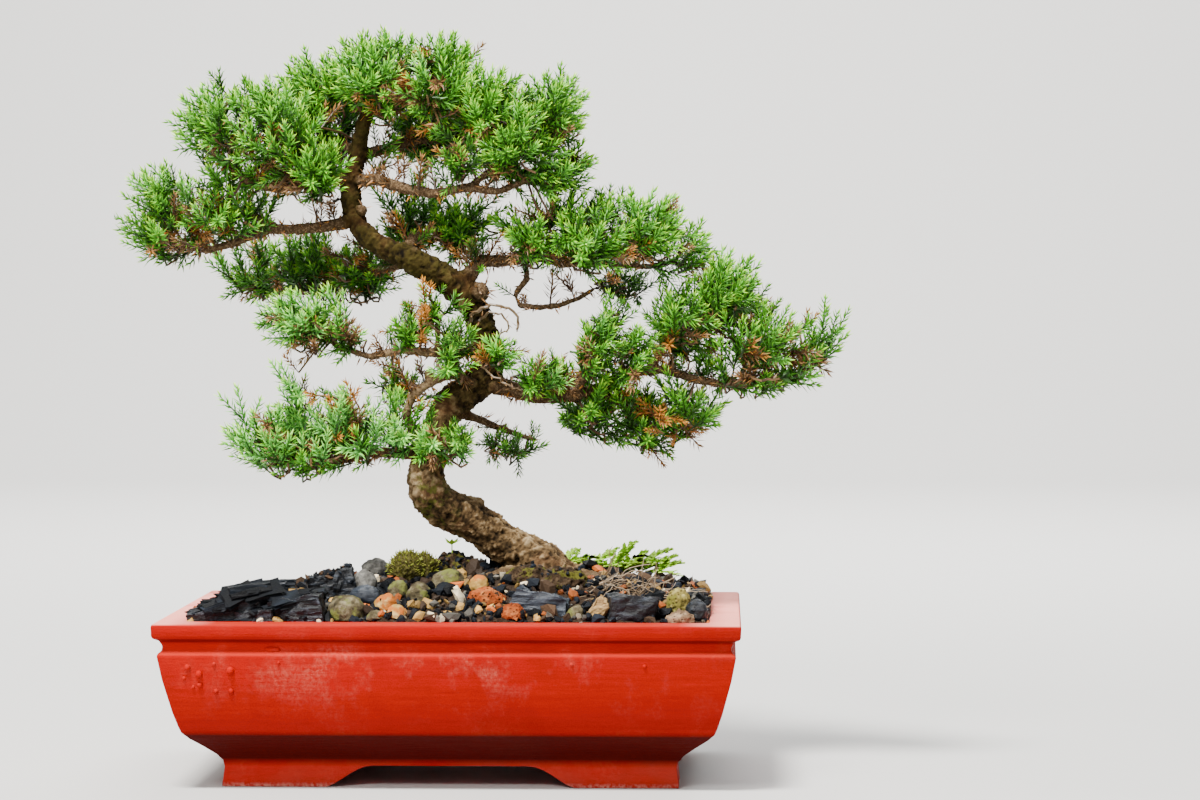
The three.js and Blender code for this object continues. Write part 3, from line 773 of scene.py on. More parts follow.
# Colour numbers: charcoal up to 0.5, then brown bark, grey, ochre, rust and pale grit. Each row
# has the share of grains up to it, its first number and the spread.
GRIT_TONES = (
    (0.60, 0.02, 0.46), (0.74, 0.53, 0.09), (0.82, 0.67, 0.04), (0.90, 0.76, 0.04),
    (0.955, 0.85, 0.04), (1.0, 0.93, 0.04),
)


def grit_tone(random):
    pick = random.random()
    first, spread = next(row[1:] for row in GRIT_TONES if pick < row[0])
    return first + spread * random.random()


print(len(GRAIN_SHAPES), "shapes of grain")

# %% [markdown]
# All the grains share one finish, which reads each grain's own colour number and the shade of its
# faces from the mesh's map, so thousands of grains of six colours stay one piece. The faces' shade
# is set at random, and the lightest faces, up to nearly three times lighter, are a painted sheen.

# %% The grains and their finish
grit_paint = Paint("charcoal_and_grit")
tone_number = grit_paint.own_map(0)
facet_shade_and_sheen = grit_paint.own_map(1)
grain_colour = grit_paint.ramp(
    tone_number,
    [(0.0, (0.0015, 0.0021, 0.0034)), (0.3, (0.0045, 0.0064, 0.0100)), (0.5, (0.036, 0.021, 0.012)),
     (0.64, (0.085, 0.079, 0.066)), (0.73, (0.26, 0.155, 0.045)), (0.82, (0.28, 0.070, 0.014)),
     (0.91, (0.40, 0.34, 0.23))],
    "CONSTANT",
)
# The faces' shade multiplies the colour: random darker faces, and a painted sheen on the lightest.
grain_colour = grit_paint.mix(
    1.0, grain_colour,
    grit_paint.ramp(facet_shade_and_sheen, [(0.0, (0.30,) * 3), (0.55, (0.95,) * 3), (1.0, (2.7, 2.6, 2.45))]),
    "MULTIPLY",
)
fine = grit_paint.noise(grit_paint.place(), 1400, 4, 0.6)
grit_material = grit_paint.finish(
    grain_colour, grit_paint.ramp(facet_shade_and_sheen, [(0, (0.5,) * 3), (1, (0.85,) * 3)]),
    fine, 0.0005, Specular_IOR_Level=0.14,
)
for name, count, seed, sizes, sink in (
    ("fine_charcoal", 3000, 11, (0.0022, 0.0065), 0.0),
    ("coarse_charcoal", 520, 12, (0.006, 0.0125), 0.06),
):
    place(strewn(name, count, seed, sizes, sink), "charcoal", grit_material)

print("finishes so far:", len(bpy.data.materials))

# %% [markdown]
# ## Stones and charcoal lumps
# The larger pieces of the dressing each have a place of their own in the frame. Each one starts as
# the frame's solid, gets an even skin, is rounded or left sharp as its stone is, and then its
# surface is broken up: split grain on charcoal and bark, pores in lava, soft bumps on worn stone.


# %% The stones' shared effect
def stone_effect():
    """Mottle, bumps, patches of moss and pores, all of a size: fineness is 1 / metres."""
    effect = Effect("worn_stone", {"Place": "NodeSocketVector", "Fineness": "NodeSocketFloat"})
    at, fineness = effect.inputs["Place"], effect.inputs["Fineness"]
    mottle = effect.noise(at, effect.both(fineness, 0.35), 7, 0.65)
    bumps = effect.noise(at, effect.both(fineness, 1.4), 6, 0.7)
    moss = effect.mask(effect.noise(at, effect.both(fineness, 0.22), 5, 0.6), 0.50, 0.58)
    pores = effect.mask(effect.cells(at, effect.both(fineness, 0.9)), 0.34, 0.10)
    return effect.gives(Mottle=mottle, Bumps=bumps, Moss=moss, Pores=pores)


WORN_STONE = stone_effect()


def stone_paint(name, stops, size, roughness, depth, moss=None, pore_depth=0.0):
    """A mottled stone: stops are its colours from low to high, size the mottle's in metres."""
    stone = Paint(name)
    worn = WORN_STONE.placed_in(stone, Place=stone.place(), Fineness=1 / size)
    colour, relief = stone.ramp(worn["Mottle"], stops), worn["Bumps"]
    if moss is not None:
        colour = stone.mix(worn["Moss"], colour, moss)
    if pore_depth:
        # Pores are painted near black: painted shade in their hollows.
        colour = stone.wash(colour, worn["Pores"], 0.85, (0.02, 0.009, 0.006))
        relief = stone.math("SUBTRACT", relief, stone.both(worn["Pores"], pore_depth))
    return stone.finish(colour, roughness, relief, depth)


def grain_paint(name, stops, stretch, roughness, depth, shine=0.08):
    """Split wood or slate: colour and relief drawn out along the piece."""
    wood = Paint(name)
    lines = DRAWN_OUT.placed_in(wood, Place=wood.place(stretch))["Lines"]
    return wood.finish(wood.ramp(lines, stops), roughness, lines, depth, Specular_IOR_Level=shine)


print("shared effect:", WORN_STONE.tree.name)

# %% [markdown]
# Eight kinds of stone and three split materials lie on the soil. The stones differ only in colour,
# in how coarse their mottle is, and in whether they have moss or pores, so each is one call.

# %% Finishes for the stones
FINISHES = {
    "charcoal": grain_paint(
        "charred_wood",
        [(0.42, (0.0010, 0.0014, 0.0022)), (0.55, (0.0042, 0.0060, 0.0095)),
         (0.72, (0.050, 0.062, 0.082))],
        (90, 700, 500), 0.42, 0.0010, 0.34,
    ),
    "slate": grain_paint(
        "dark_slate",
        [(0.35, (0.008, 0.011, 0.016)), (0.6, (0.022, 0.029, 0.042)), (0.78, (0.07, 0.085, 0.11))],
        (120, 260, 900), 0.45, 0.0006, 0.4,
    ),
    "split_wood": grain_paint(
        "split_wood_chip",
        [(0.35, (0.14, 0.080, 0.034)), (0.6, (0.38, 0.25, 0.11)), (0.8, (0.56, 0.42, 0.22))],
        (90, 900, 900), 0.8, 0.0005,
    ),
    "mossy_stone": stone_paint(
        "mossy_stone",
        [(0.34, (0.014, 0.011, 0.006)), (0.5, (0.072, 0.058, 0.031)), (0.68, (0.23, 0.20, 0.12))],
        0.0024, 0.88, 0.0010, (0.115, 0.125, 0.030),
    ),
    "ochre_stone": stone_paint(
        "ochre_stone",
        [(0.3, (0.12, 0.050, 0.012)), (0.5, (0.33, 0.19, 0.045)), (0.68, (0.56, 0.42, 0.17))],
        0.0030, 0.85, 0.0008, (0.36, 0.105, 0.018),
    ),
    "golden_stone": stone_paint(
        "golden_lichen_stone",
        [(0.32, (0.045, 0.034, 0.008)), (0.5, (0.22, 0.175, 0.045)), (0.7, (0.50, 0.44, 0.16))],
        0.0022, 0.88, 0.0012, (0.14, 0.13, 0.022), 0.5,
    ),
    "clay": stone_paint(
        "pale_clay_clod",
        [(0.3, (0.055, 0.030, 0.016)), (0.5, (0.20, 0.125, 0.072)), (0.7, (0.46, 0.33, 0.21))],
        0.0018, 0.95, 0.0012, None, 0.5,
    ),
    "grey_stone": stone_paint(
        "grey_stone",
        [(0.3, (0.035, 0.033, 0.030)), (0.5, (0.11, 0.105, 0.095)), (0.7, (0.26, 0.25, 0.22))],
        0.0020, 0.85, 0.0009,
    ),
    "rust_lava": stone_paint(
        "rust_lava",
        [(0.3, (0.060, 0.012, 0.005)), (0.5, (0.26, 0.055, 0.012)), (0.72, (0.46, 0.17, 0.055))],
        0.0022, 0.9, 0.0013, None, 0.9,
    ),
    "earth": stone_paint(
        "earth_clod",
        [(0.3, (0.008, 0.005, 0.003)), (0.5, (0.032, 0.019, 0.010)), (0.72, (0.115, 0.075, 0.042))],
        0.0016, 0.95, 0.0014, (0.085, 0.080, 0.012), 0.6,
    ),
}

print(len(FINISHES), "finishes for the dressing")

# %% [markdown]
# The table says how each lump is finished and how far its surface is rounded off: 0 is split
# charcoal or wood, which stays sharp, and 6 a cobble worn by water. The pairs are the sizes of its
# lumps and how far they stand out.

# %% What each stone is
# node: (finish, slot, how round, lump sizes and heights in millimetres)
STONES = {
    "charcoal_long_slab": ("charcoal", "charcoal", 0, ((6, 0.9), (1.8, 0.45))),
    "charcoal_back_slab": ("charcoal", "charcoal", 0, ((7, 0.9), (1.8, 0.45))),
    "charcoal_small_slab": ("charcoal", "charcoal", 0, ((4, 0.7), (1.5, 0.35))),
    "charcoal_ringed_block": ("charcoal", "charcoal", 0, ((6, 0.9), (1.8, 0.5))),
    "charcoal_right_block": ("charcoal", "charcoal", 0, ((6, 0.9), (1.8, 0.5))),
    "bark_block": ("charcoal", "charcoal", 1, ((5, 0.9), (2, 0.5))),
    "slate_shard": ("slate", "slate", 0, ((7, 0.7), (2, 0.2))),
    "black_flint": ("slate", "slate", 1, ((6, 0.7), (2, 0.2))),
    "black_lava": ("charcoal", "slate", 2, ((5, 0.7), (1.6, 0.5))),
    "wood_chip": ("split_wood", "split_wood", 0, ((4, 0.3), (1.2, 0.2))),
    "pumice_boulder": ("mossy_stone", "mossy_stone", 5, ((8, 0.9), (2, 0.4))),
    "mossy_pebble": ("mossy_stone", "mossy_stone", 5, ((5, 0.6), (1.6, 0.3))),
    "olive_pebble": ("mossy_stone", "mossy_stone", 5, ((5, 0.6), (1.6, 0.3))),
    "lichen_stone": ("mossy_stone", "mossy_stone", 4, ((5, 0.8), (1.8, 0.3))),
    "olive_stone": ("mossy_stone", "mossy_stone", 4, ((5, 0.6), (1.6, 0.3))),
    "round_cobble": ("mossy_stone", "mossy_stone", 6, ((7, 0.7), (1.8, 0.25))),
    "ochre_upper_stone": ("ochre_stone", "ochre_stone", 4, ((5, 0.8), (1.6, 0.25))),
    "ochre_lower_stone": ("ochre_stone", "ochre_stone", 4, ((5, 0.8), (1.6, 0.25))),
    "gold_stone": ("golden_stone", "ochre_stone", 3, ((5, 1.0), (1.6, 0.5))),
    "tan_pebble": ("ochre_stone", "ochre_stone", 5, ((5, 0.6), (1.6, 0.2))),
    "grey_cobble": ("grey_stone", "grey_stone", 5, ((6, 0.6), (1.8, 0.3))),
    "back_lava": ("grey_stone", "grey_stone", 3, ((6, 0.9), (1.6, 0.5))),
    "rust_lava": ("rust_lava", "rust_lava", 2, ((6, 1.0), (1.6, 0.6))),
    "orange_lava": ("rust_lava", "rust_lava", 3, ((5, 0.9), (1.6, 0.5))),
    "clay_clod": ("clay", "earth", 3, ((5, 1.0), (1.6, 0.6))),
    "earth_mound": ("earth", "earth", 2, ((6, 2.2), (1.8, 0.9))),
    "root_clod": ("earth", "earth", 3, ((7, 1.8), (2.0, 0.9))),
}


print(len(STONES), "stones and lumps in the table")


# %% Breaking up their surfaces
def split_block(obj, seed):
    """Breaks a block's faces as charred or split wood breaks: steps and fibres along it."""
    apply(obj, "SUBSURF", subdivision_type="SIMPLE", levels=3, render_levels=3)
    points, normals = points_of(obj), normals_of(obj)
    long_way = points - points.mean(axis=0)
    axis = np.linalg.svd(long_way, full_matrices=False)[2][0]
    stretched = points - np.outer(points @ axis, axis) * 0.82
    fibres = rough(stretched, 0.0016, 4, seed)
    steps = np.round(rough(stretched, 0.0050, 2, seed + 40) * 3) / 3
    move_points(obj, points + normals * (fibres * 0.00045 + steps * 0.00085)[:, None])
    return obj


slab_objects = []
for seed, (node, (finish, slot, rounding, lumps)) in enumerate(STONES.items()):
    stone = copy_of(node, node + "_stone")
    if rounding == 0:
        split_block(stone, 20 + seed)
    else:
        crumbled(stone, 0.00075, [(a / 1000, b / 1000) for a, b in lumps], 20 + seed, rounding)
    place(stone, slot, FINISHES[finish], node, smooth=28 if rounding < 2 else 60)
    if node.startswith("charcoal"):
        slab_objects.append(stone)
print("made", len(STONES), "stones and lumps")

# %% [markdown]
# A few pebbles of the fine dressing catch the eye, so they are set down one by one, and crumbs of
# the mix have rolled onto the clods and the mound.

# %% Pebbles set down one by one, and crumbs on the clods
# x from the pot's middle and y in millimetres, size in millimetres, colour number
PEBBLES = (
    (-131, -62, 10, 0.86), (5, -66, 10, 0.95), (15, -77, 7.5, 0.78), (21, -75, 6, 0.78),
    (-96, -87, 5.5, 0.95), (-88, -87, 6.5, 0.78), (-9, -87, 6.5, 0.95), (-3, -87, 5.5, 0.95),
    (2, -88, 5, 0.69), (-15, -86, 6.5, 0.78), (-66, -88, 5, 0.95), (46, -87, 6, 0.78),
    (52, -84, 7, 0.69), (-72, -66, 8, 0.95), (-60, -64, 7, 0.86), (-20, -73, 8, 0.78),
    (104, -60, 8, 0.78), (96, -56, 7, 0.95), (117, -52, 8, 0.78), (3, -56, 6, 0.95),
    (-30, -44, 7, 0.78), (126, -62, 7, 0.69), (88, -48, 6, 0.86), (-8, -72, 6, 0.69),
)
random = np.random.default_rng(57)
mounds = [
    surface_of(bpy.data.objects[node + "_stone"])
    for node in ("earth_mound", "root_clod", "clay_clod", "bark_block")
]


def ground_at(x, y):
    """The height of the soil or of the mound on it at x, y, or None outside them."""
    heights = [height_under(surface, x, y) for surface in [soil_surface] + mounds]
    return max((height for height in heights if height is not None), default=None)


drops = [(POT_X + x / 1000, y / 1000, size / 1000, tone) for x, y, size, tone in PEBBLES]
for node, count in (("earth_mound", 130), ("root_clod", 45), ("bark_block", 110)):
    low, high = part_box(node)
    for _ in range(count):
        x, y = random.uniform(low[0], high[0]), random.uniform(low[1], high[1])
        drops.append((x, y, random.uniform(0.0016, 0.0042), 0.02 + 0.60 * random.random()))
extra = Growth()
for index, (x, y, size, tone) in enumerate(drops):
    ground = ground_at(x, y)
    if ground is None:
        continue
    points, triangles = GRAIN_SHAPES[index % len(GRAIN_SHAPES)]
    shape = points * random.uniform(0.8, 1.1, size=3) * size @ turned(random, 1)[0].T
    shape += np.array([x, y, ground + size * (0.30 if index < len(PEBBLES) else 0.1)])
    shape[:, 0] = np.clip(shape[:, 0], POT_X - SOIL_HALF_X, POT_X + SOIL_HALF_X)
    shape[:, 1] = np.clip(shape[:, 1], -SOIL_HALF_Y, SOIL_HALF_Y)
    extra.add(shape, triangles, tone, 0.55 + random.uniform(-0.25, 0.40, len(shape)))
pebbles = mesh_from("set_down_pebbles", *extra.arrays())
place(pebbles, "charcoal", grit_material)
print("pebbles and crumbs:", len(drops))

# %% [markdown]
# Longer splinters of charcoal lie among the crumbs, thickest at the left front where a handful of
# it was dropped. Each is a split stick: a box drawn out and broken at its ends.

# %% Charcoal splinters
def splinter(seed, width=(0.22, 0.42), depth=(0.10, 0.24)):
    """One split stick 1 unit long, as rows of corners and triangles."""
    random = np.random.default_rng(seed)
    bpy.ops.mesh.primitive_cube_add(size=1, location=(0, 0, 0))
    stick = bpy.context.object
    apply(stick, "SUBSURF", subdivision_type="SIMPLE", levels=1, render_levels=1)
    points = points_of(stick)
    points += random.uniform(-0.13, 0.13, size=points.shape)
    points *= np.array([1.0, random.uniform(*width), random.uniform(*depth)])
    triangles = triangles_of(stick)
    bpy.data.objects.remove(stick)
    return points, triangles


SPLINTERS, SPLINTERS_AT_LEFT = 210, 120
splinters = [splinter(60 + seed) for seed in range(7)]
flakes = [splinter(160 + seed, (0.36, 0.62), (0.10, 0.17)) for seed in range(6)]
random = np.random.default_rng(61)
# They lie on the soil or on the slabs, whichever is higher.
heap = Growth()
for piece in [soil] + slab_objects:
    heap.add_mapped(points_of(piece), triangles_of(piece), np.empty((0, 2)))
heap_points, heap_triangles, _ = heap.arrays()
heap_surface = BVHTree.FromPolygons(heap_points.tolist(), heap_triangles.tolist())
sticks = Growth()
for index in range(SPLINTERS):
    left = index < SPLINTERS_AT_LEFT
    x = POT_X + (random.uniform(-0.132, -0.070) if left else random.uniform(-0.13, 0.13))
    y = random.uniform(-0.088, -0.045) if left else random.uniform(-0.088, 0.088)
    ground = height_under(heap_surface, x, y)
    if ground is None:
        continue
    # Every third one at the left front is a broad flake, and they all lean the same way.
    broad_flake = left and index % 3 == 0
    points, triangles = (flakes if broad_flake else splinters)[index % 6]
    length = random.uniform(0.012, 0.021) if broad_flake else random.uniform(0.008, 0.017)
    turn = random.normal(0.25, 0.30) if left else random.uniform(0, 6.28)
    tilt = random.normal(-0.20, 0.13) if left else random.normal(scale=0.28)
    roll = random.normal(0.35, 0.25) if left else random.uniform(-0.7, 0.7)
    matrix = np.array(
        Matrix.Rotation(turn, 3, "Z") @ Matrix.Rotation(tilt, 3, "Y") @ Matrix.Rotation(roll, 3, "X")
    )
    shape = points * length @ matrix.T + np.array([x, y, ground + random.uniform(-0.0022, 0.0012)])
    reach = np.abs(shape[:, :2] - (POT_X, 0)).max(axis=0)
    if reach[0] >= SOIL_HALF_X or reach[1] >= SOIL_HALF_Y:
        continue
    number = random.uniform(0.03, 0.48) + random.uniform(-0.004, 0.004, len(shape))
    shade = random.uniform(0.04, 0.96, len(shape))
    sticks.add_mapped(shape, triangles, np.column_stack([number, shade]))
place(mesh_from("charcoal_splinters", *sticks.arrays()), "charcoal", grit_material)
print("splinters:", len(sticks.points))

# %% [markdown]
# ## The tree's wood
# Trunk, roots and branches grew as one piece. The frame's limbs are plain tapering tubes, so the
# wood gets an even skin over all of them and its bark is raised from that: long rough plates that
# run up the trunk, deep cracks between them, and little knobs where side shoots were cut off.

# %% Knobs and the trunk's skin
# The trunk's middle line in the frame, from the soil to the crown: x, y, z and half its width.
TRUNK_LINE = np.array([
    (54, 0, 78, 13), (50, 0, 95, 17), (44, 0, 107, 16), (35, 0, 114, 12.6), (25, -1, 120, 10.8),
    (16, -2, 127, 10.3), (7, -4, 134, 10.8), (-4, -6, 139, 11.2), (-13, -8, 145, 11),
    (-17, -8, 153, 10.4), (-17, -7, 162, 9.4), (-14, -5, 175, 8), (-10, -1, 187, 7.8),
    (-5, 3, 196, 8.6), (5, 6, 203, 8.4), (13, 6, 210, 8), (16, 6, 221, 7.4), (12, 4, 234, 7),
    (9, 2, 245, 6.6), (2, 0, 255, 7.2), (-9, -3, 264, 6.8), (-22, -6, 271, 6), (-34, -6, 277, 5.2),
    (-45, -5, 282, 5), (-53, -2, 289, 5.2), (-57, 1, 297, 5.2), (-59, 3, 307, 5),
    (-58, 4, 318, 4.8), (-55, 4, 330, 3.8), (-53, 3, 343, 3.2), (-48, 2, 355, 2.6),
    (-41, 2, 369, 1.8),
]) / 1000
TRUNK_LINE[:, 0] += POT_X

# Knobs: x from the pot's middle, y, z and radius, in millimetres.
KNOBS = (
    (10, -3, 142.5, 2.6), (20, -3, 135.5, 2.2), (31, -3, 127.0, 2.4), (11, -5, 256, 5.0),
    (-21, -15, 150, 3.2), (-8, -13, 176, 2.6), (-20, -4, 170, 2.8), (-24, -9, 277, 3.0),
    (-38, -7, 282, 2.4), (18, 1, 226, 3.4), (3, -7, 248, 3.2), (-52, -4, 300, 2.4),
    (0, -14, 138, 3.0), (28, -10, 116, 3.4),
)
wood = copy_of("trunk_and_branches", "trunk_bark")
knobs = []
for x, y, z, radius in KNOBS:
    bpy.ops.mesh.primitive_ico_sphere_add(
        subdivisions=2, radius=radius / 1000, location=(POT_X + x / 1000, y / 1000, z / 1000)
    )
    knobs.append(bpy.context.object)
only(wood)
for knob in knobs:
    knob.select_set(True)
bpy.ops.object.join()
apply(wood, "REMESH", mode="VOXEL", voxel_size=0.00088, use_smooth_shade=False)
apply(wood, "SMOOTH", factor=0.5, iterations=5)
print("wood:", len(wood.data.polygons), "faces")

# %% [markdown]
# Bark follows the limb it grows on. For every corner of the wood, the nearest point of the trunk's
# middle line says how far up the trunk it is and how thick the trunk is there, so plates and rings
# can be sized and faded by it. A texture alone would run the same way on every limb.

# %% Where each corner is along the trunk
wood_points, wood_normals = points_of(wood), normals_of(wood)
nearest = np.full(len(wood_points), np.inf)
along_trunk = np.zeros(len(wood_points))
half_width = np.zeros(len(wood_points))
run = 0.0
for start, end in zip(TRUNK_LINE[:-1], TRUNK_LINE[1:]):
    length = np.linalg.norm(end[:3] - start[:3])
    direction = (end[:3] - start[:3]) / length
    offset = wood_points - start[:3]
    reach = np.clip(offset @ direction, 0, length)
    distance = np.linalg.norm(offset - reach[:, None] * direction, axis=1)
    closer = distance < nearest
    nearest[closer] = distance[closer]
    along_trunk[closer] = run + reach[closer]
    half_width[closer] = start[3] + (end[3] - start[3]) * reach[closer] / length
    run += length
# 1 on the trunk itself, fading to 0 out along the branches.
on_trunk = np.clip((1.75 - nearest / half_width) / 0.5, 0, 1)
print("the trunk's middle line is", round(run * 1000), "mm long")

# %% Bark relief
PLATE = 0.0036
RING = 0.0052
plates = rough(wood_points, PLATE, 6, 1)
cracks = 1 - np.abs(rough(wood_points, PLATE, 3, 2)) * 2.6
fine_bark = rough(wood_points, 0.0016, 3, 5)
thick = np.clip(half_width / 0.0078, 0.3, 1.1)
lumps = rough(wood_points, 0.013, 2, 4)
relief = on_trunk * thick * (plates * 0.0010 + lumps * 0.0009 - np.clip(cracks, 0, 1) ** 3 * 0.0006)
# Where the trunk bends above the first branches its bark is folded into rings across it.
folded = on_trunk * np.clip((wood_points[:, 2] - 0.170) / 0.03, 0, 1)
rings = np.sin(along_trunk * 2 * math.pi / RING + 6.0 * rough(wood_points, 0.010, 3, 9))
ring_height = 0.00014 + 0.00016 * np.clip(rough(wood_points, 0.012, 2, 13) + 0.3, 0, 1)
relief += folded * rings * ring_height
relief += fine_bark * (0.00022 + 0.0003 * on_trunk)
relief += (1 - on_trunk) * rough(wood_points, 0.0035, 3, 6) * 0.00035
# Smoothing drew the limbs in, so they are filled out again.
fill_out = 0.0004 + 0.0005 * on_trunk
move_points(wood, wood_points + wood_normals * (relief + fill_out)[:, None])
# The finish reads where the bark was before it was raised, how far it was raised, and the trunk.
place_layer = wood.data.attributes.new("bark_place", "FLOAT_VECTOR", "POINT")
place_layer.data.foreach_set("vector", wood_points.astype(np.float32).ravel())
for layer_name, values in (
    ("bark_tone_and_crack_shade", np.clip(0.5 + relief / 0.0042, 0, 1)), ("on_trunk", on_trunk),
):
    layer = wood.data.attributes.new(layer_name, "FLOAT", "POINT")
    layer.data.foreach_set("value", values.astype(np.float32))
print("bark relief from", round(relief.min() * 1000, 2), "to", round(relief.max() * 1000, 2), "mm")

# %% [markdown]
# Raised bark is pale and dry, and the cracks between are dark, partly damp and partly painted
# shade, so the colour follows the relief first and a cloud of noise second. Algae tints the upper
# trunk olive, moss sits low on its left, and one old side branch has bleached.

# %% The trunk's colour
bark = Paint("juniper_bark")
bark_at = bark.add("ShaderNodeAttribute", output="Vector", attribute_name="bark_place")
bark_raised_and_crack_shade = bark.add("ShaderNodeAttribute", output="Fac", attribute_name="bark_tone_and_crack_shade")
bark_trunk = bark.add("ShaderNodeAttribute", output="Fac", attribute_name="on_trunk")
plate_cloud = bark.noise(bark_at, 420, 8, 0.72)
flake = bark.noise(bark_at, 900, 6, 0.7)
broad = bark.noise(bark.place(), 60, 4, 0.6)
across, height = bark.split(bark.place(), 0), bark.split(bark.place(), 2)
# Raised bark is painted pale and the cracks near black: the bark's own colour, and painted shade in
# the cracks.
level = bark.weighted(bark_raised_and_crack_shade, 0.62, plate_cloud, 0.40)
bark_colour = bark.ramp(
    level,
    [(0.32, (0.008, 0.005, 0.002)), (0.43, (0.040, 0.024, 0.010)), (0.53, (0.115, 0.070, 0.031)),
     (0.70, (0.33, 0.24, 0.13))],
)
bark_colour = bark.wash(bark_colour, bark.mask(broad, 0.50, 0.66), 0.45, (0.13, 0.055, 0.026))
algae = bark.both(bark.mask(height, 0.17, 0.23), bark.mask(broad, 0.62, 0.46))
algae = bark.both(algae, bark.mask(level, 0.35, 0.6))
bark_colour = bark.wash(bark_colour, algae, 0.70, (0.062, 0.060, 0.009))
bark_colour = bark.mix(bark.mask(height, 0.165, 0.225), bark_colour, (0.36, 0.35, 0.20), "MULTIPLY")
# Moss has a hold low on the left of the bend.
mossy_bark = bark.mask(across, POT_X + 0.004, POT_X - 0.012)
mossy_bark = bark.both(mossy_bark, bark.mask(height, 0.175, 0.150))
moss_cloud = bark.noise(bark.place(), 170, 6, 0.7)
mossy_bark = bark.both(mossy_bark, bark.mask(moss_cloud, 0.50, 0.60))
bark_colour = bark.wash(bark_colour, mossy_bark, 0.8, (0.075, 0.085, 0.012))
print("trunk:", len(bark.tree.nodes), "nodes")

# %% The branches' colour and the bark's finish
branch_colour = bark.ramp(
    flake, [(0.3, (0.020, 0.011, 0.005)), (0.5, (0.075, 0.045, 0.022)), (0.72, (0.24, 0.165, 0.095))]
)
# The old side branch on the left of the trunk has lost its bark and bleached.
elbow = bark.band(height, 0.188, 0.196, 0.228, 0.236)
elbow = bark.both(elbow, bark.band(across, POT_X - 0.044, POT_X - 0.036, POT_X - 0.014, POT_X - 0.008))
bleached = bark.ramp(
    flake, [(0.3, (0.060, 0.036, 0.018)), (0.5, (0.19, 0.125, 0.066)), (0.72, (0.38, 0.27, 0.15))]
)
branch_colour = bark.mix(bark.both(elbow, 0.9), branch_colour, bleached)
bark_colour = bark.mix(bark_trunk, branch_colour, bark_colour)
bark_relief = bark.weighted(flake, 0.6, plate_cloud)
bark_material = bark.finish(bark_colour, 0.9, bark_relief, 0.0011, 1.0)
place(wood, "bark", bark_material, "trunk_and_branches", smooth=50)
print("bark:", len(bark.tree.nodes), "nodes")

# %% [markdown]
# ## Needles and twigs
# A juniper of this kind carries stiff, flat, pointed needles in threes around thin shoots, and the
# shoots fork like little feathers that all reach up and out to the light. One needle is modelled,
# set in threes up a shoot, and side shoots are added to make a spray. Each pad of foliage is then
# filled with sprays whose tips reach the frame's pad, and thin twigs grow from their feet back to
# the nearest wood. Inside and under the pads the light fails, so the needles there are brown.

# %% One needle
bpy.ops.mesh.primitive_cone_add(
    vertices=3, radius1=0.5, radius2=0, depth=0.62, end_fill_type="TRIFAN", location=(0, 0, 0.69)
)
needle = bpy.context.object
bpy.ops.object.transform_apply(location=True, rotation=True, scale=True)
needle_points, needle_triangles = points_of(needle), triangles_of(needle)
foot = np.argmin(np.linalg.norm(needle_points - np.array([0, 0, 0.38]), axis=1))
needle_points[foot] = (0, 0, 0)
needle_points[:, 1] *= 0.42
bpy.data.objects.remove(needle)
print("needle:", len(needle_points), "corners,", len(needle_triangles), "triangles")


# %% [markdown]
# A shoot is a thin curved stem with needles round it in threes, each three turned between the last
# ones, and closing up towards the tip. A modifier could scatter needles on a stem, but a loop sets
# each one's lean and length by how near the tip it is, as they grow.


# %% Turning and drawing out
def facing(direction, roll):
    """A matrix whose third column is direction, turned by roll about it."""
    direction = direction / np.linalg.norm(direction)
    side = np.cross((0.0, 0.0, 1.0), direction)
    if np.linalg.norm(side) < 1e-3:
        side = np.array([1.0, 0, 0])
    side /= np.linalg.norm(side)
    other = np.cross(direction, side)
    c, s = math.cos(roll), math.sin(roll)
    return np.column_stack([side * c + other * s, other * c - side * s, direction])


def tube(growth, path, radii, tone, heights, sides=3):
    """A thin closed tube along path."""
    path = np.asarray(path)
    count = len(path)
    rings = []
    for i, point in enumerate(path):
        direction = path[min(i + 1, count - 1)] - path[max(i - 1, 0)]
        basis = facing(direction, 0.0)
        angles = np.arange(sides) * 2 * math.pi / sides
        ring = np.cos(angles)[:, None] * basis[:, 0] + np.sin(angles)[:, None] * basis[:, 1]
        rings.append(point + ring * radii[i])
    triangles = []
    for i in range(count - 1):
        for j in range(sides):
            a, b = i * sides + j, i * sides + (j + 1) % sides
            triangles += [(a, b, b + sides), (a, b + sides, a + sides)]
    last = (count - 1) * sides
    for j in range(1, sides - 1):
        triangles += [(0, j + 1, j), (last, last + j, last + j + 1)]
    growth.add(
        np.concatenate(rings), np.array(triangles), tone, np.repeat(np.asarray(heights), sides)
    )


print("shapes can be turned and stems drawn out")


# %% Shoots and sprays
NEEDLE_WIDTHS = (0.00155, 0.0014)
SPRAY_LENGTH = 0.031
TIP_LENGTH = 0.019


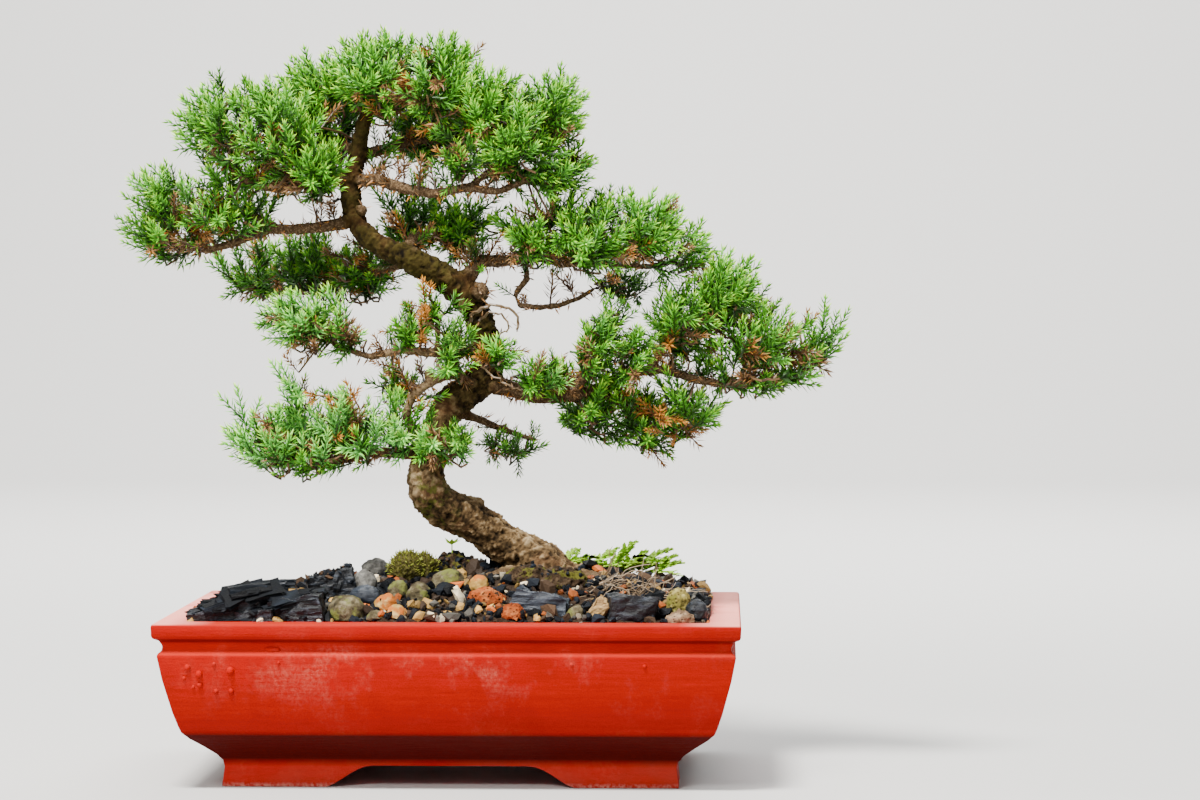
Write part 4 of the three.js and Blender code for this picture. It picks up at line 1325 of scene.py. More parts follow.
def shoot(growth, random, base, direction, length, spacing, needle_length, start=0.0):
    """A thin curved stem with needles in threes up it, closing to a tight tip."""
    direction = direction / np.linalg.norm(direction)
    bend = random.normal(scale=0.07, size=3) + np.array([0, 0, 0.10])
    steps = np.linspace(0, 1, 4)
    path = [base + direction * length * s + bend * length * s * s * 0.5 for s in steps]
    tube(growth, path, [0.00062, 0.00055, 0.00045, 0.0003], 0.0, 0.10 + 0.25 * steps)
    whorls = max(4, int(length / spacing))
    for whorl in range(whorls):
        s = start + (1 - start) * (whorl + 0.5) / whorls
        centre = base + direction * length * s + bend * length * s * s * 0.5
        ahead = direction + bend * s
        basis = facing(ahead, whorl * 1.047 + random.uniform(-0.2, 0.2))
        near_tip = max(0.0, (s - 0.72) / 0.28)
        lean = math.radians(47 - 28 * near_tip + random.uniform(-5, 5))
        size = needle_length * (1 - 0.35 * near_tip) * random.uniform(0.88, 1.08)
        for third in range(3):
            around = third * 2 * math.pi / 3 + random.uniform(-0.25, 0.25)
            outward = basis @ np.array([math.cos(around), math.sin(around), 0])
            axis = basis[:, 2] * math.cos(lean) + outward * math.sin(lean)
            across = np.cross(axis, outward)
            across /= np.linalg.norm(across)
            stand = np.column_stack([across, np.cross(axis, across), axis])
            shape = needle_points * np.array([*NEEDLE_WIDTHS, size])
            heights = 0.08 + 0.42 * s ** 1.5 + 0.48 * needle_points[:, 2]
            own_tone = random.uniform(-0.07, 0.07)
            growth.add(shape @ stand.T + centre, needle_triangles, own_tone, heights)


def spray(seed, length, sides, spacing=0.0023, needle_length=0.0074):
    """A main shoot with side shoots to left and right, growing along +Z from the origin."""
    random = np.random.default_rng(seed)
    growth = Growth()
    up = np.array([0, 0, 1.0])
    shoot(growth, random, np.zeros(3), up, length, spacing, needle_length, 0.12)
    for index in range(sides):
        s = 0.16 + 0.52 * (index + 0.3) / max(1, sides)
        hand = 1 if index % 2 else -1
        angle = math.radians(random.uniform(26, 40))
        lift = random.uniform(-0.25, 0.25)
        direction = np.array([hand * math.sin(angle), lift, math.cos(angle)])
        shoot(
            growth, random, up * length * s, direction,
            length * random.uniform(0.55, 0.75) * (1.15 - 0.4 * s), spacing, needle_length * 0.94,
        )
    return growth.arrays()


SPRAYS = [spray(100 + i, SPRAY_LENGTH, sides) for i, sides in enumerate((2, 3, 2, 2, 3, 1))]
TIPS = [spray(200 + i, TIP_LENGTH, sides) for i, sides in enumerate((0, 1, 1, 0))]
print("sprays of", [len(s[1]) for s in SPRAYS], "tips of", [len(s[1]) for s in TIPS], "triangles")

# %% [markdown]
# A juniper's pad is full at its skin, where the light is, and nearly bare inside. So places are
# picked evenly over the frame's pad first, and each gets a spray whose tip reaches it.


# %% Places spread over a skin
def crowded(cells, places, point, gap):
    """Whether a place that is already kept is nearer than gap to point."""
    cell = (point // gap).astype(int)
    for step in np.ndindex(3, 3, 3):
        for other in cells.get(tuple(cell + step - 1), ()):
            if np.sum((places[other] - point) ** 2) < gap * gap:
                return True
    return False


def surface_places(obj, random, gap):
    """Points spread evenly over obj's skin, at least gap apart, with the way out at each."""
    points, triangles = points_of(obj), triangles_of(obj)
    a, b, c = (points[triangles[:, i]] for i in range(3))
    cross = np.cross(b - a, c - a)
    areas = np.linalg.norm(cross, axis=1) / 2
    outward = cross / (2 * areas[:, None] + 1e-15)
    wanted = int(areas.sum() / (gap * gap) * 6)
    pick = random.choice(len(areas), size=wanted, p=areas / areas.sum())
    u, v = random.random(wanted), random.random(wanted)
    fold = u + v > 1
    u[fold], v[fold] = 1 - u[fold], 1 - v[fold]
    places = a[pick] + (b - a)[pick] * u[:, None] + (c - a)[pick] * v[:, None]
    kept, cells = [], {}
    for index, point in enumerate(places):
        if not crowded(cells, places, point, gap):
            cells.setdefault(tuple((point // gap).astype(int)), []).append(index)
            kept.append(index)
    return places[kept], outward[pick][kept]


print("places can be spread over a skin")

# %% [markdown]
# Every spray hangs on a twig. The feet nearest the wood are joined to it first, and each foot after
# that joins whatever already stands nearest, so the twigs fork on their own as real ones do.

# %% Twigs back to the wood
wood_tree = kdtree.KDTree(len(wood.data.vertices))
for vertex in wood.data.vertices:
    wood_tree.insert(vertex.co, vertex.index)
wood_tree.balance()


def nearest_wood(point):
    """The nearest corner of the tree's wood, and how far away it is."""
    where, _, distance = wood_tree.find(Vector(point))
    return np.array(where), distance


OLD_NEEDLE_WIDTHS = (0.0012, 0.0012)


def grow_twigs(growth, random, feet):
    """Thin forking twigs from the wood to each foot: every foot joins the nearest twig that
    already stands, or the wood where that is nearer."""
    distances = np.array([nearest_wood(foot)[1] for foot in feet])
    network = []
    for index in np.argsort(distances):
        foot = feet[index]
        target, reach = nearest_wood(foot)
        if network:
            gaps = np.linalg.norm(np.array(network) - foot, axis=1)
            closest = int(np.argmin(gaps))
            if gaps[closest] < reach:
                target, reach = network[closest], gaps[closest]
        if reach < 0.0004:
            network.append(foot)
            continue
        sag = random.normal(scale=0.10, size=3) * reach + np.array([0, 0, -0.12 * reach])
        steps = max(2, min(7, int(reach / 0.004) + 1))
        path = []
        for s in np.linspace(0, 1, steps + 1):
            wobble = random.normal(scale=0.00035, size=3) * (0 < s < 1)
            path.append(target + (foot - target) * s + sag * math.sin(math.pi * s) + wobble)
        thick = 0.0006 + min(0.0009, reach * 0.025)
        radii = np.linspace(thick, 0.0006, steps + 1)
        tube(growth, path, radii, 0.16 + 0.11 * random.random(), np.linspace(0.05, 0.9, steps + 1))
        network.extend(path[1:])
        # Old brown needles still stand on some of the twig.
        for _ in range(int(reach / 0.0035)):
            if random.random() < 0.45:
                s = random.random()
                spot = path[min(steps, int(s * steps + 0.5))]
                axis = random.normal(size=3) + (foot - target) / max(reach, 1e-4) * 0.8
                basis = facing(axis, random.uniform(0, 6))
                shape = needle_points * np.array([*OLD_NEEDLE_WIDTHS, random.uniform(0.004, 0.0068)])
                growth.add(
                    shape @ basis.T + spot, needle_triangles, 0.03 + 0.09 * random.random(),
                    0.1 + 0.8 * needle_points[:, 2],
                )


print("wood tree:", len(wood.data.vertices), "corners")


# %% Putting one spray in its place
def put(growth, model, base, direction, roll, scale, tone):
    """Copies a spray or a tip to base, facing direction and turned by roll."""
    points, triangles, tint = model
    placed = points * scale @ facing(direction, roll).T + base
    growth.add(placed, triangles, tone, tint[:, 1])
    # Each needle keeps its own tone, a little off the spray's, and its small width in the map.
    if tone > 0.3:
        growth.tint[-1][:, 0] = np.clip(tone + tint[:, 0], 0.33, 0.99)
    else:
        growth.tint[-1][:, 0] = tone + tint[:, 0] * 0.2


# Nothing stands out past the whole object's box by more than half a needle.
FURTHEST_LOW = np.array(cad_box[0]) - 0.004
FURTHEST_HIGH = np.array(cad_box[1]) + 0.005
# The low sprays on the left stand out into the light and are painted paler and bluer than the
# crown's, as painted light; the pads at the back, in the others' shade, are painted darker, as
# painted shade.
PAD_LIGHT = {
    "foliage_left_low": 0.38, "foliage_left_middle": 0.32, "foliage_low_spray": 0.36,
    "foliage_front_left_spray": 0.26, "foliage_front_right_spray": 0.22,
    "foliage_right_front": 0.02, "foliage_front_middle": 0.12, "foliage_left_inner": 0.05,
    "foliage_back_left": -0.14, "foliage_crown_back": -0.12, "foliage_small_back": -0.10,
    "foliage_right_back": -0.16, "foliage_low_back": -0.20, "foliage_low_left_back": -0.20,
    "foliage_right_low": -0.10, "foliage_crown_inner": -0.12,
}


print(len(PAD_LIGHT), "pads are paler or darker than the rest")

# %% [markdown]
# One pad is filled in three passes: sprays that reach its skin, shoots deep inside, some dead for
# want of light and the rest painted dark green as shade, and the twigs that carry them all. Under
# the pad most places stay bare.


# %% Filling one pad
SPRAY_GAP = 0.0094
BARE_BELOW = -0.35
SMALL_PAD = 0.052
LEAN_DOWN = -0.22


def foot_inside(place_at, out, direction, length, skin, lowest):
    """Leans a spray out until its foot is inside the pad; gives back its lean and its foot."""
    for lean_out in (0.0, 0.4, 0.8, 1.4):
        leaning = direction + out * lean_out
        leaning[2] = max(leaning[2], LEAN_DOWN)
        leaning /= np.linalg.norm(leaning)
        base = place_at - leaning * length * 0.96
        near_skin, skin_out, _, _ = skin.find_nearest(Vector(base))
        if (Vector(base) - near_skin).dot(skin_out) < 0.001:
            return leaning, base
    base = place_at - leaning * length * 0.5
    base[2] = max(base[2], lowest)
    return leaning, base


def foliage_pad(node, seed):
    """One pad of needles: sprays whose tips reach the pad's skin, twigs back to the wood."""
    random = np.random.default_rng(seed)
    low, high = (np.array(c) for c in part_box(node))
    middle = (low + high) / 2
    places, outward = surface_places(nodes[node], random, SPRAY_GAP)
    growth, feet = Growth(), []
    reach_side = middle - np.array([POT_X - 0.02, 0, middle[2]])
    reach_side = reach_side / max(np.linalg.norm(reach_side), 0.05)
    thickness = high[2] - low[2]
    skin = surface_of(nodes[node])
    pad_light = PAD_LIGHT.get(node, 0.0)
    # Needles stand out past their shoot, so the shoots stop short of the pad's skin; the smallest
    # sprays are single shoots.
    small = (high - low).max() < SMALL_PAD
    for place_at, out in zip(places, outward):
        place_at = place_at - out * (0.0045 if small else 0.0026 - 0.0018 * max(out[2], 0))
        under = out[2] < BARE_BELOW
        if under and random.random() < 0.58:
            continue
        upward = 0.72 if not under else 0.15
        direction = out * (0.62 if not under else 0.42) + np.array([0, 0, upward])
        direction += reach_side * (0.46 if not under else 0.60)
        direction += random.normal(scale=0.10, size=3)
        direction /= np.linalg.norm(direction)
        level = (place_at[2] - low[2]) / max(thickness, 1e-4)
        full = not small and random.random() < (0.62 if not under else 0.25)
        model = SPRAYS[random.integers(len(SPRAYS))] if full else TIPS[random.integers(len(TIPS))]
        length = SPRAY_LENGTH if full else TIP_LENGTH
        scale = random.uniform(0.80, 1.06) * min(1.0, 0.62 + thickness / 0.075)
        direction, base = foot_inside(
            place_at, out, direction, length * scale, skin, low[2] + 0.002
        )
        # A spray is painted lighter the higher it sits in its pad, as painted light from above, with
        # its pad's painted light and a random spread added.
        light = 0.40 + 0.30 * level + 0.14 * random.normal() + pad_light
        tone = 0.36 + 0.60 * float(np.clip(light, 0, 1))
        if under and random.random() < 0.22:
            tone = 0.05 + 0.06 * random.random()
        put(growth, model, base, direction, random.uniform(0, 6.28), scale, tone)
        feet.append(base)
    # Shoots deep inside: some dead, the rest painted dark green as shade.
    for _ in range(int(len(places) * 0.55)):
        spot = places[random.integers(len(places))]
        spot = spot + (middle - spot) * random.uniform(0.2, 0.65)
        direction = np.array([0, 0, 0.3]) + random.normal(scale=0.6, size=3) + reach_side * 0.3
        dead = random.random() < (0.55 if spot[2] < low[2] + thickness * 0.5 else 0.12)
        tone = 0.04 + 0.07 * random.random() if dead else 0.36 + 0.18 * random.random()
        put(
            growth, TIPS[random.integers(len(TIPS))], spot, direction, random.uniform(0, 6.28),
            random.uniform(0.6, 0.85), tone,
        )
        feet.append(spot)
    grow_twigs(growth, random, np.array(feet))
    points, triangles, tint = growth.arrays()
    points = np.clip(points, FURTHEST_LOW, FURTHEST_HIGH)
    return mesh_from(node + "_needles", points, triangles, np.clip(tint, 0.004, 0.996))


print("a spray stands every", SPRAY_GAP * 1000, "mm")


# %% [markdown]
# Old needles stay on the branches for years as brown bristles, with a small shoot here and there.
# They are scattered over the thin wood only, as the trunk has shed them.

# %% Bristles and small shoots along the branches
BRISTLES, SMALL_SHOOTS = 2600, 430
random = np.random.default_rng(640)
wood_at, wood_out = points_of(wood), normals_of(wood)
thin = np.where((on_trunk < 0.05) & (wood_at[:, 2] > 0.165))[0]
bristles = Growth()
for index in random.choice(thin, size=BRISTLES, replace=False):
    axis = wood_out[index] + random.normal(scale=0.75, size=3)
    size = random.uniform(0.0030, 0.0068)
    shape = needle_points * np.array([*OLD_NEEDLE_WIDTHS, size])
    bristles.add(
        shape @ facing(axis, random.uniform(0, 6)).T + wood_at[index] - wood_out[index] * 0.0004,
        needle_triangles, random.uniform(0.02, 0.13), 0.1 + 0.8 * needle_points[:, 2],
    )
for index in random.choice(thin, size=SMALL_SHOOTS, replace=False):
    if wood_out[index][2] < -0.35:
        continue
    direction = wood_out[index] * 0.8 + np.array([0, 0, 0.7]) + random.normal(scale=0.35, size=3)
    alive = random.random() < 0.72
    put(
        bristles, TIPS[random.integers(len(TIPS))], wood_at[index], direction,
        random.uniform(0, 6.28), random.uniform(0.50, 0.95),
        random.uniform(0.38, 0.74) if alive else random.uniform(0.03, 0.12),
    )
print("bristles and small shoots:", len(bristles.points))

# %% [markdown]
# Whole shoots have died here and there. The newest are bright orange and the others have gone
# brown. Each hangs on a short twig from the nearest wood.

# %% Dead shoots
# x from the pot's middle, y, z and spread in millimetres, and how many.
DEAD_SHOOTS = (
    (-13, -26, 247, 6, 11), (-60, -30, 193, 9, 11), (112, -18, 190, 13, 11),
    (96, -12, 186, 9, 5), (46, -14, 288, 8, 7), (108, -24, 226, 7, 5), (-51, -18, 354, 9, 7),
    (-14, -22, 352, 11, 9), (12, -26, 344, 8, 5), (-100, -34, 316, 10, 7), (-95, -36, 336, 7, 4),
    (-72, -22, 336, 7, 5), (-54, 22, 270, 13, 12), (-74, -24, 222, 9, 5), (-36, -22, 222, 10, 6),
    (60, -20, 210, 9, 6), (-134, -24, 282, 11, 7), (80, -22, 272, 12, 6), (28, -12, 196, 8, 4),
)
# The first clusters in the list died last and are still orange.
NEWLY_DEAD = 4
for cluster, (x, y, z, spread, count) in enumerate(DEAD_SHOOTS):
    tones = (0.015, 0.045) if cluster < NEWLY_DEAD else (0.03, 0.12)
    for _ in range(max(2, int(count * 0.6))):
        spot = np.array([POT_X + x / 1000, y / 1000, z / 1000])
        spot = spot + random.normal(scale=spread / 1600, size=3)
        direction = np.array([0.25 * math.copysign(1, x), -0.25, 0.35])
        direction = direction + random.normal(scale=0.6, size=3)
        put(
            bristles, TIPS[random.integers(len(TIPS))], spot, direction,
            random.uniform(0, 6.28), random.uniform(0.45, 0.82), random.uniform(*tones),
        )
        home, _ = nearest_wood(spot)
        tube(bristles, [home, (home + spot) / 2 + random.normal(scale=0.001, size=3), spot],
             [0.0008, 0.0007, 0.0006], 0.2, [0.2, 0.5, 0.8])
print("with the dead shoots:", len(bristles.points))

# %% [markdown]
# Old twigs that have lost their bark loop over the front of the trunk. Each is a tube along a few
# corners, which are cut off twice so that the twig runs in a curve, with a few bristles left on it.

# %% Twigs looped over the trunk
# Corners (x from the pot's middle, y, z) and the thicker end's radius, in millimetres.
LOOPED_TWIGS = (
    (((5, -10, 238), (9, -16, 246), (17, -18, 249), (26, -17, 248), (33, -14, 242),
      (31, -11, 235)), 1.15),
    (((11, -13, 241), (18, -18, 246), (26, -18, 242), (27, -16, 236), (21, -14, 233)), 0.8),
    (((7, -16, 226), (11, -21, 219), (17, -24, 213), (25, -24, 208), (34, -21, 204)), 0.8),
    (((-6, -16, 222), (-10, -19, 219), (-9, -21, 214)), 1.3),
)


def rounded(corners, times=2):
    """Cuts the corners of a path so that it runs in a curve."""
    path = np.array(corners, dtype=float)
    for _ in range(times):
        quarter = path[:-1] * 0.75 + path[1:] * 0.25
        three_quarters = path[:-1] * 0.25 + path[1:] * 0.75
        between = np.stack([quarter, three_quarters], axis=1).reshape(-1, 3)
        path = np.concatenate([path[:1], between, path[-1:]])
    return path


for corners, radius in LOOPED_TWIGS:
    path = rounded(corners) / 1000 + np.array([POT_X, 0, 0])
    path += random.normal(scale=0.00042, size=path.shape)
    for spot in path[::2]:
        axis = random.normal(size=3)
        shape = needle_points * np.array([0.0011, 0.0011, random.uniform(0.003, 0.0055)])
        bristles.add(
            shape @ facing(axis, 0.0).T + spot, needle_triangles, 0.09, 0.1 + 0.8 * needle_points[:, 2]
        )
    taper = np.linspace(radius, radius * 0.45, len(path)) / 1000
    tube(bristles, path, taper, 0.305, np.linspace(0.35, 0.9, len(path)), sides=6)
bristle_points, bristle_triangles, bristle_tint = bristles.arrays()
bristle_object = mesh_from(
    "branch_bristles", bristle_points, bristle_triangles, np.clip(bristle_tint, 0.004, 0.996)
)
print("bristles:", len(bristle_object.data.polygons), "faces")

# %% [markdown]
# Needles, shoots and twigs share one finish. Each needle's colour number picks what it is: dead up
# to 0.14, twig bark up to 0.29, barkless twig up to 0.32, and living above that, from the shaded
# deep green to the palest lit green, which is painted light and shade. Its height in the shoot takes
# it from the dark foot, painted shade, to the bright tip, partly the new growth's paler colour and
# partly a painted highlight.

# %% Needle finish
needles = Paint("juniper_needles")
tone, rise = needles.own_map(0), needles.own_map(1)
shaded_green = needles.ramp(
    rise,
    [(0.15, (0.005, 0.014, 0.001)), (0.42, (0.017, 0.064, 0.003)), (0.68, (0.050, 0.175, 0.010)),
     (0.92, (0.20, 0.45, 0.016))],
)
lit_green = needles.ramp(
    rise,
    [(0.15, (0.011, 0.032, 0.002)), (0.40, (0.040, 0.18, 0.007)), (0.66, (0.12, 0.42, 0.018)),
     (0.90, (0.62, 0.98, 0.050))],
)
palest_lit_green = needles.ramp(
    rise,
    [(0.15, (0.020, 0.062, 0.009)), (0.38, (0.090, 0.33, 0.055)), (0.64, (0.27, 0.68, 0.125)),
     (0.90, (0.66, 0.98, 0.13))],
)
live = needles.mix(needles.mask(tone, 0.36, 0.80), shaded_green, lit_green)
live = needles.mix(needles.mask(tone, 0.83, 0.96), live, palest_lit_green)
newly_dead = needles.ramp(
    rise, [(0.1, (0.070, 0.024, 0.004)), (0.45, (0.28, 0.100, 0.012)), (0.9, (0.66, 0.30, 0.050))]
)
long_dead = needles.ramp(
    rise, [(0.1, (0.028, 0.013, 0.005)), (0.45, (0.12, 0.056, 0.020)), (0.9, (0.38, 0.21, 0.080))]
)
dead = needles.mix(needles.mask(tone, 0.048, 0.060), newly_dead, long_dead)
twig = needles.ramp(
    rise, [(0.05, (0.026, 0.014, 0.007)), (0.5, (0.085, 0.046, 0.022)), (0.9, (0.13, 0.075, 0.032))]
)
barkless = needles.ramp(
    rise, [(0.05, (0.034, 0.020, 0.009)), (0.5, (0.095, 0.062, 0.032)), (0.9, (0.19, 0.13, 0.072))]
)
brown = needles.mix(needles.mask(tone, 0.138, 0.142), dead, twig)
brown = needles.mix(needles.mask(tone, 0.289, 0.291), brown, barkless)
needle_colour = needles.mix(needles.mask(tone, 0.318, 0.322), brown, live)
needle_material = needles.finish(needle_colour, 0.42, Specular_IOR_Level=0.26)
place(bristle_object, "needles", needle_material)
print("needle finish:", len(needles.tree.nodes), "nodes")

# %% [markdown]
# The frame's pads are taken in the order of their names, so each keeps its own seed, and the tree
# comes out the same every time.

# %% Every pad in its place
pads = sorted(node for node in nodes if node.startswith("foliage_"))
total = 0
for seed, node in enumerate(pads):
    pad = foliage_pad(node, 500 + seed)
    place(pad, "needles", needle_material, node)
    total += len(pad.data.polygons)
    print(node, len(pad.data.polygons))
print("foliage:", total, "triangles in", len(pads), "pads")

# %% [markdown]
# ## Moss, weeds and fine roots
# Moss grows in a cushion of tiny upright stems, so the frame's mound is covered with short tufts.
# A feathery light green weed leans out behind the trunk: thin stems with pairs of small leaflets.
# On the right the soil has washed away from a mat of hair-thin roots.

# %% The finish of small plants
def between_two(name, roughness, dull_stops, fresh_stops):
    """A finish between a dull and a fresh ramp of colour: the map's colour number says how fresh,
    its height in the shoot where along the ramps."""
    plant = Paint(name)
    height_in_shoot = plant.own_map(1)
    colour = plant.mix(
        plant.own_map(0), plant.ramp(height_in_shoot, dull_stops),
        plant.ramp(height_in_shoot, fresh_stops),
    )
    return plant.finish(colour, roughness)


print("small plants have a finish to share")

# %% Moss cushion
TUFT_GAP = 0.0011
moss_body = copy_of("moss_cushion", "moss_cushion_tufts")
# The cushion has grown taller and narrower than its block.
cushion = points_of(moss_body)
cushion_foot = (cushion.min(axis=0) + cushion.max(axis=0)) / 2
cushion_foot[2] = cushion[:, 2].min()
move_points(moss_body, cushion_foot + (cushion - cushion_foot) * (0.84, 1.0, 1.12))
crumbled(moss_body, 0.0009, [(0.006, 0.0012), (0.002, 0.0006)], 71, 3)
moss = Growth()
corners = len(moss_body.data.vertices)
dull = 0.1 + 0.2 * np.random.default_rng(7).random(corners)
low_down = 0.05 + 0.25 * np.random.default_rng(8).random(corners)
moss.add_mapped(
    points_of(moss_body), triangles_of(moss_body), np.column_stack([dull, low_down])
)
random = np.random.default_rng(72)
places, outward = surface_places(moss_body, random, TUFT_GAP)
for spot, out in zip(places, outward):
    if out[2] < -0.2:
        continue
    basis = facing(out + np.array([0, 0, 0.5]) + random.normal(scale=0.35, size=3), 0.0)
    size = random.uniform(0.0012, 0.0030)
    shape = needle_points * np.array([0.0011, 0.0011, size])
    moss.add(
        shape @ basis.T + spot, needle_triangles, random.uniform(0.1, 0.9),
        0.2 + 0.75 * needle_points[:, 2],
    )
bpy.data.objects.remove(moss_body)
moss_object = mesh_from("moss_cushion_tufts", *moss.arrays())
place(
    moss_object, "moss",
    between_two(
        "yellow_green_moss", 0.85,
        [(0.1, (0.030, 0.022, 0.008)), (0.9, (0.17, 0.15, 0.022))],
        [(0.1, (0.045, 0.045, 0.010)), (0.9, (0.30, 0.36, 0.045))],
    ),
    "moss_cushion",
)
print("moss:", len(moss_object.data.polygons), "faces")


# %% [markdown]
# The weed is a small fern-like creeper: arching stems with pairs of leaflets, each cut again into
# points. A leaf card with a picture on it would be quicker, but its edge would show up close.


# %% Leaves and fronds
def leaf_shape(growth, base, direction, size, width, tone):
    """One small pointed leaf, made from the needle's shape."""
    shape = needle_points * np.array([width, width * 0.5, size])
    growth.add(
        shape @ facing(direction, 0.0).T + base, needle_triangles, tone,
        0.25 + 0.65 * needle_points[:, 2],
    )


def frond(growth, random, base, direction, length, tone):
    """A stem with pairs of leaflets, each leaflet cut into three small points."""
    direction = direction / np.linalg.norm(direction)
    side = np.cross(direction, (0, 0, 1.0))
    side /= np.linalg.norm(side)
    droop = np.array([0, 0, -0.28 * length])
    path = [base + direction * length * s + droop * s * s for s in np.linspace(0, 1, 7)]
    tube(growth, path, np.linspace(0.0005, 0.00022, 7), tone, np.linspace(0.2, 0.7, 7))
    pairs = int(length / 0.0023)
    for pair in range(1, pairs + 1):
        s = pair / pairs
        spot = base + direction * length * s + droop * s * s
        leaflet = 0.0056 * math.sin(math.pi * min(0.95, 0.25 + 0.7 * s)) + 0.0012
        for hand in (-1, 1):
            axis = side * hand + direction * 0.55 + random.normal(scale=0.15, size=3)
            axis /= np.linalg.norm(axis)
            leaf_shape(growth, spot, axis, leaflet, 0.0034, tone)
            for cut_at in (0.35, 0.65):
                for turn in (-0.8, 0.8):
                    leaf_shape(
                        growth, spot + axis * leaflet * cut_at, axis + direction * turn,
                        leaflet * 0.52, 0.0030, tone,
                    )


print("leaves and fronds can be grown")

# %% The weed behind the trunk
FRONDS = 24
fern_low, fern_high = (np.array(c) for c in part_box("fern_sprig"))
random = np.random.default_rng(81)
fern = Growth()
for index in range(FRONDS):
    s = (index + 0.5) / FRONDS
    base = np.array([
        fern_low[0] + (fern_high[0] - fern_low[0] - 0.014) * s,
        (fern_low[1] + fern_high[1]) / 2 + random.uniform(-0.005, 0.004),
        fern_low[2] + 0.001,
    ])
    direction = random.uniform((0.1, -0.7, 0.25), (1.1, 0.3, 0.85))
    frond(fern, random, base, direction, random.uniform(0.015, 0.029), random.uniform(0.45, 0.98))
fern_points, fern_triangles, fern_tint = fern.arrays()
fern_points = np.clip(fern_points, fern_low - 0.004, fern_high + 0.009)
print("weed:", len(fern_triangles), "triangles")

# %% [markdown]
# Two seedlings of the same green have come up: one on the dark mound by the moss, and a leafier one
# at the pot's back left. They are joined to the weed's mesh, since a few leaves need no slot.

# %% The seedlings
# x from the pot's middle and y, how many leaves, how long a leaf and the stem are, in metres
SEEDLINGS = ((-0.004, -0.008, 4, 0.0065, 0.008), (-0.117, 0.058, 9, 0.0075, 0.006))
sprouts = Growth()
sprouts.add_mapped(fern_points, fern_triangles, fern_tint)
for x, y, leaves, leaf, stem in SEEDLINGS:
    x += POT_X
    ground = ground_at(x, y) - 0.001
    top = np.array([x, y, ground + stem])
    tube(sprouts, [np.array([x, y, ground]), top], [0.0005, 0.0004], 0.8, [0.3, 0.7])
    for index in range(leaves):
        around = index * 2.4
        axis = np.array([math.cos(around), math.sin(around), random.uniform(0.3, 0.9)])
        spot = top - (0, 0, stem * 0.5 * random.random())
        leaf_shape(sprouts, spot, axis, leaf, leaf * 0.55, 0.95)
fern_object = mesh_from("fern_sprig_fronds", *sprouts.arrays())
weed_material = between_two(
    "light_green_weed", 0.6,
    [(0.2, (0.11, 0.20, 0.015)), (0.9, (0.26, 0.46, 0.030))],
    [(0.2, (0.24, 0.42, 0.030)), (0.9, (0.50, 0.80, 0.070))],
)
place(fern_object, "fern", weed_material, "fern_sprig")
print("weed and seedlings:", len(fern_object.data.polygons), "faces")

# %% [markdown]
# Rain has washed the soil off the fine roots on the right, and they lie bare and tangled. Each is
# walked out a few short steps at a time, turning a little at random, and never sinks into the soil.


# %% Fine roots on the washed side
ROOTS = 260
ROOT_STEPS = 9


def root_thread(growth, random, base, direction, length, thick, tone):
    """One bare root, wandering over the soil from base."""
    path, heading = [base], direction / np.linalg.norm(direction)
    for _ in range(ROOT_STEPS):
        heading = heading + random.normal(scale=0.28, size=3)
        heading /= np.linalg.norm(heading)
        step = path[-1] + heading * length / ROOT_STEPS
        ground = height_under(soil_surface, step[0], step[1])
        lowest = step[2] if ground is None else ground + 0.0006
        step[2] = max(step[2] - 0.0004, lowest)
        path.append(step)
    radii = np.linspace(thick, thick * 0.4, ROOT_STEPS + 1)
    tube(growth, path, radii, tone, np.linspace(0.1, 0.9, ROOT_STEPS + 1), sides=4)


mat_low, mat_high = (np.array(c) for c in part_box("fine_root_mat"))
random = np.random.default_rng(91)
mat = Growth()
mat_block = surface_of(nodes["fine_root_mat"])
for _ in range(ROOTS):
    x = random.uniform(mat_low[0] + 0.002, mat_high[0] - 0.004)
    y = random.uniform(mat_low[1] + 0.002, mat_high[1] - 0.002)
    ground = height_under(mat_block, x, y)
    if ground is None:
        continue
    base = np.array([x, y, ground - random.uniform(0.002, 0.009)])
    direction = np.array([0.7, -0.35, -0.05]) + random.normal(scale=0.50, size=3)
    thick = 0.00018 + 0.00040 * random.random() ** 3
    length, tone = random.uniform(0.010, 0.030), random.uniform(0.05, 0.95)
    root_thread(mat, random, base, direction, length, thick, tone)
mat_object = mesh_from("fine_root_threads", *mat.arrays())
root_material = between_two(
    "pale_root_threads", 0.8,
    [(0.1, (0.050, 0.028, 0.014)), (0.9, (0.16, 0.100, 0.056))],
    [(0.1, (0.22, 0.150, 0.090)), (0.9, (0.50, 0.39, 0.27))],
)
place(mat_object, "fine_roots", root_material, "fine_root_mat")
print("fine roots:", len(mat_object.data.polygons), "faces")

# %% [markdown]
# ## Floor, light and camera
# A plain pale floor that curves up behind the object, a large soft light above and in front like an
# overcast sky, and a camera at the same height and distance as someone looking straight at the pot.

# %% The floor
bpy.ops.mesh.primitive_plane_add(size=8, location=(0, 0.2, 0))
floor = bpy.context.object
floor.name = "floor"
bpy.ops.object.mode_set(mode="EDIT")
bpy.ops.mesh.select_all(action="DESELECT")
floor_mesh = bmesh.from_edit_mesh(floor.data)
for edge in floor_mesh.edges:
    edge.select = all(v.co.y > 3.9 for v in edge.verts)
bmesh.update_edit_mesh(floor.data)
bpy.ops.mesh.extrude_region_move(TRANSFORM_OT_translate={"value": (0, 0, 5)})
bpy.ops.object.mode_set(mode="OBJECT")
apply(floor, "BEVEL", width=1.2, segments=16, limit_method="ANGLE")
bpy.ops.object.shade_smooth()
floor_paint = bpy.data.materials.new("pale_floor")
floor_paint.use_nodes = True
floor_shader = floor_paint.node_tree.nodes["Principled BSDF"]
floor_shader.inputs["Base Color"].default_value = (0.52, 0.51, 0.49, 1)
floor_shader.inputs["Roughness"].default_value = 0.9
floor.data.materials.append(floor_paint)
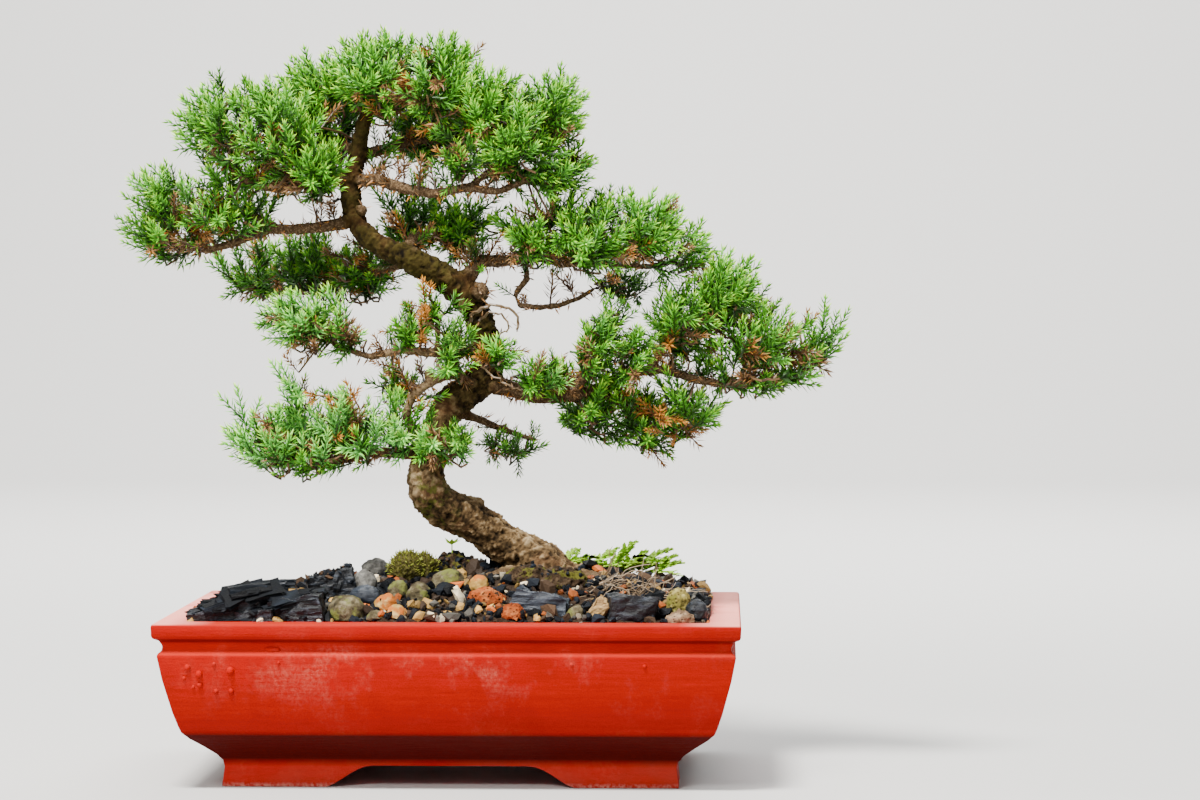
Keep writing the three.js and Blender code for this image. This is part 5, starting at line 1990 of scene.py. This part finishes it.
floor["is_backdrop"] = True
print("floor:", len(floor.data.polygons), "faces")

# %% [markdown]
# An overcast sky is one big light, but a large lamp above and in front keeps the soft shadows that
# show the shapes, with weaker ones for the sky in front and behind, and one on the backdrop.

# %% Light
world = bpy.data.worlds.new("soft_sky")
world.use_nodes = True
sky = world.node_tree.nodes["Background"]
sky.inputs["Color"].default_value = (0.96, 0.98, 1.0, 1)
sky.inputs["Strength"].default_value = 0.50
bpy.context.scene.world = world


def area_light(name, location, target, size, power, colour=(1, 1, 1)):
    """A round lamp that faces its target. Size in metres, power in watts."""
    light = bpy.data.lights.new(name, "AREA")
    light.shape = "DISK"
    light.size = size
    light.energy = power
    light.color = colour
    obj = bpy.data.objects.new(name, light)
    obj.location = location
    obj.rotation_euler = (Vector(target) - Vector(location)).to_track_quat("-Z", "Y").to_euler()
    bpy.context.collection.objects.link(obj)


area_light("overcast", (-0.40, -0.85, 1.78), (0, 0, 0.2), 0.45, 128, (1.0, 0.985, 0.95))
area_light("backdrop", (0.0, 1.7, 2.6), (0.0, 4.2, 0.9), 2.4, 330)
area_light("back_sky", (0.4, 1.2, 1.9), (0, 0, 0.2), 1.6, 60, (0.95, 0.98, 1.0))
area_light("front_sky", (-0.75, -1.6, 1.35), (0, 0, 0.15), 0.6, 30, (1.0, 0.99, 0.97))

print("lamps:", len(bpy.data.lights))

# %% [markdown]
# The camera stands nearly two metres off, level with the middle of the tree and a little to the
# right of the pot's middle, and looks very slightly down, so the pot's ends show their true slope.

# %% Camera
camera_data = bpy.data.cameras.new("camera")
camera_data.sensor_width = 36
camera_data.lens = 104.16
camera_data.clip_end = 30
camera = bpy.data.objects.new("camera", camera_data)
camera.location = (0.1396 + POT_X, -1.855, 0.2494)
aim = Vector((0.0749 + POT_X, 0.0, 0.1982))
camera.rotation_euler = (aim - camera.location).to_track_quat("-Z", "Y").to_euler()
bpy.context.collection.objects.link(camera)
bpy.context.scene.camera = camera
print("camera", round((aim - camera.location).length, 2), "m from what it looks at")

# %% [markdown]
# Last, the sizes of the frame and of the finished pieces are written down side by side, so that
# anything that stands out past the frame shows up.

# %% Sizes and the finish
low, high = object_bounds()
print("cad box", [round(v, 4) for v in cad_box[0] + cad_box[1]])
print("visual ", [round(v, 4) for v in list(low) + list(high)])
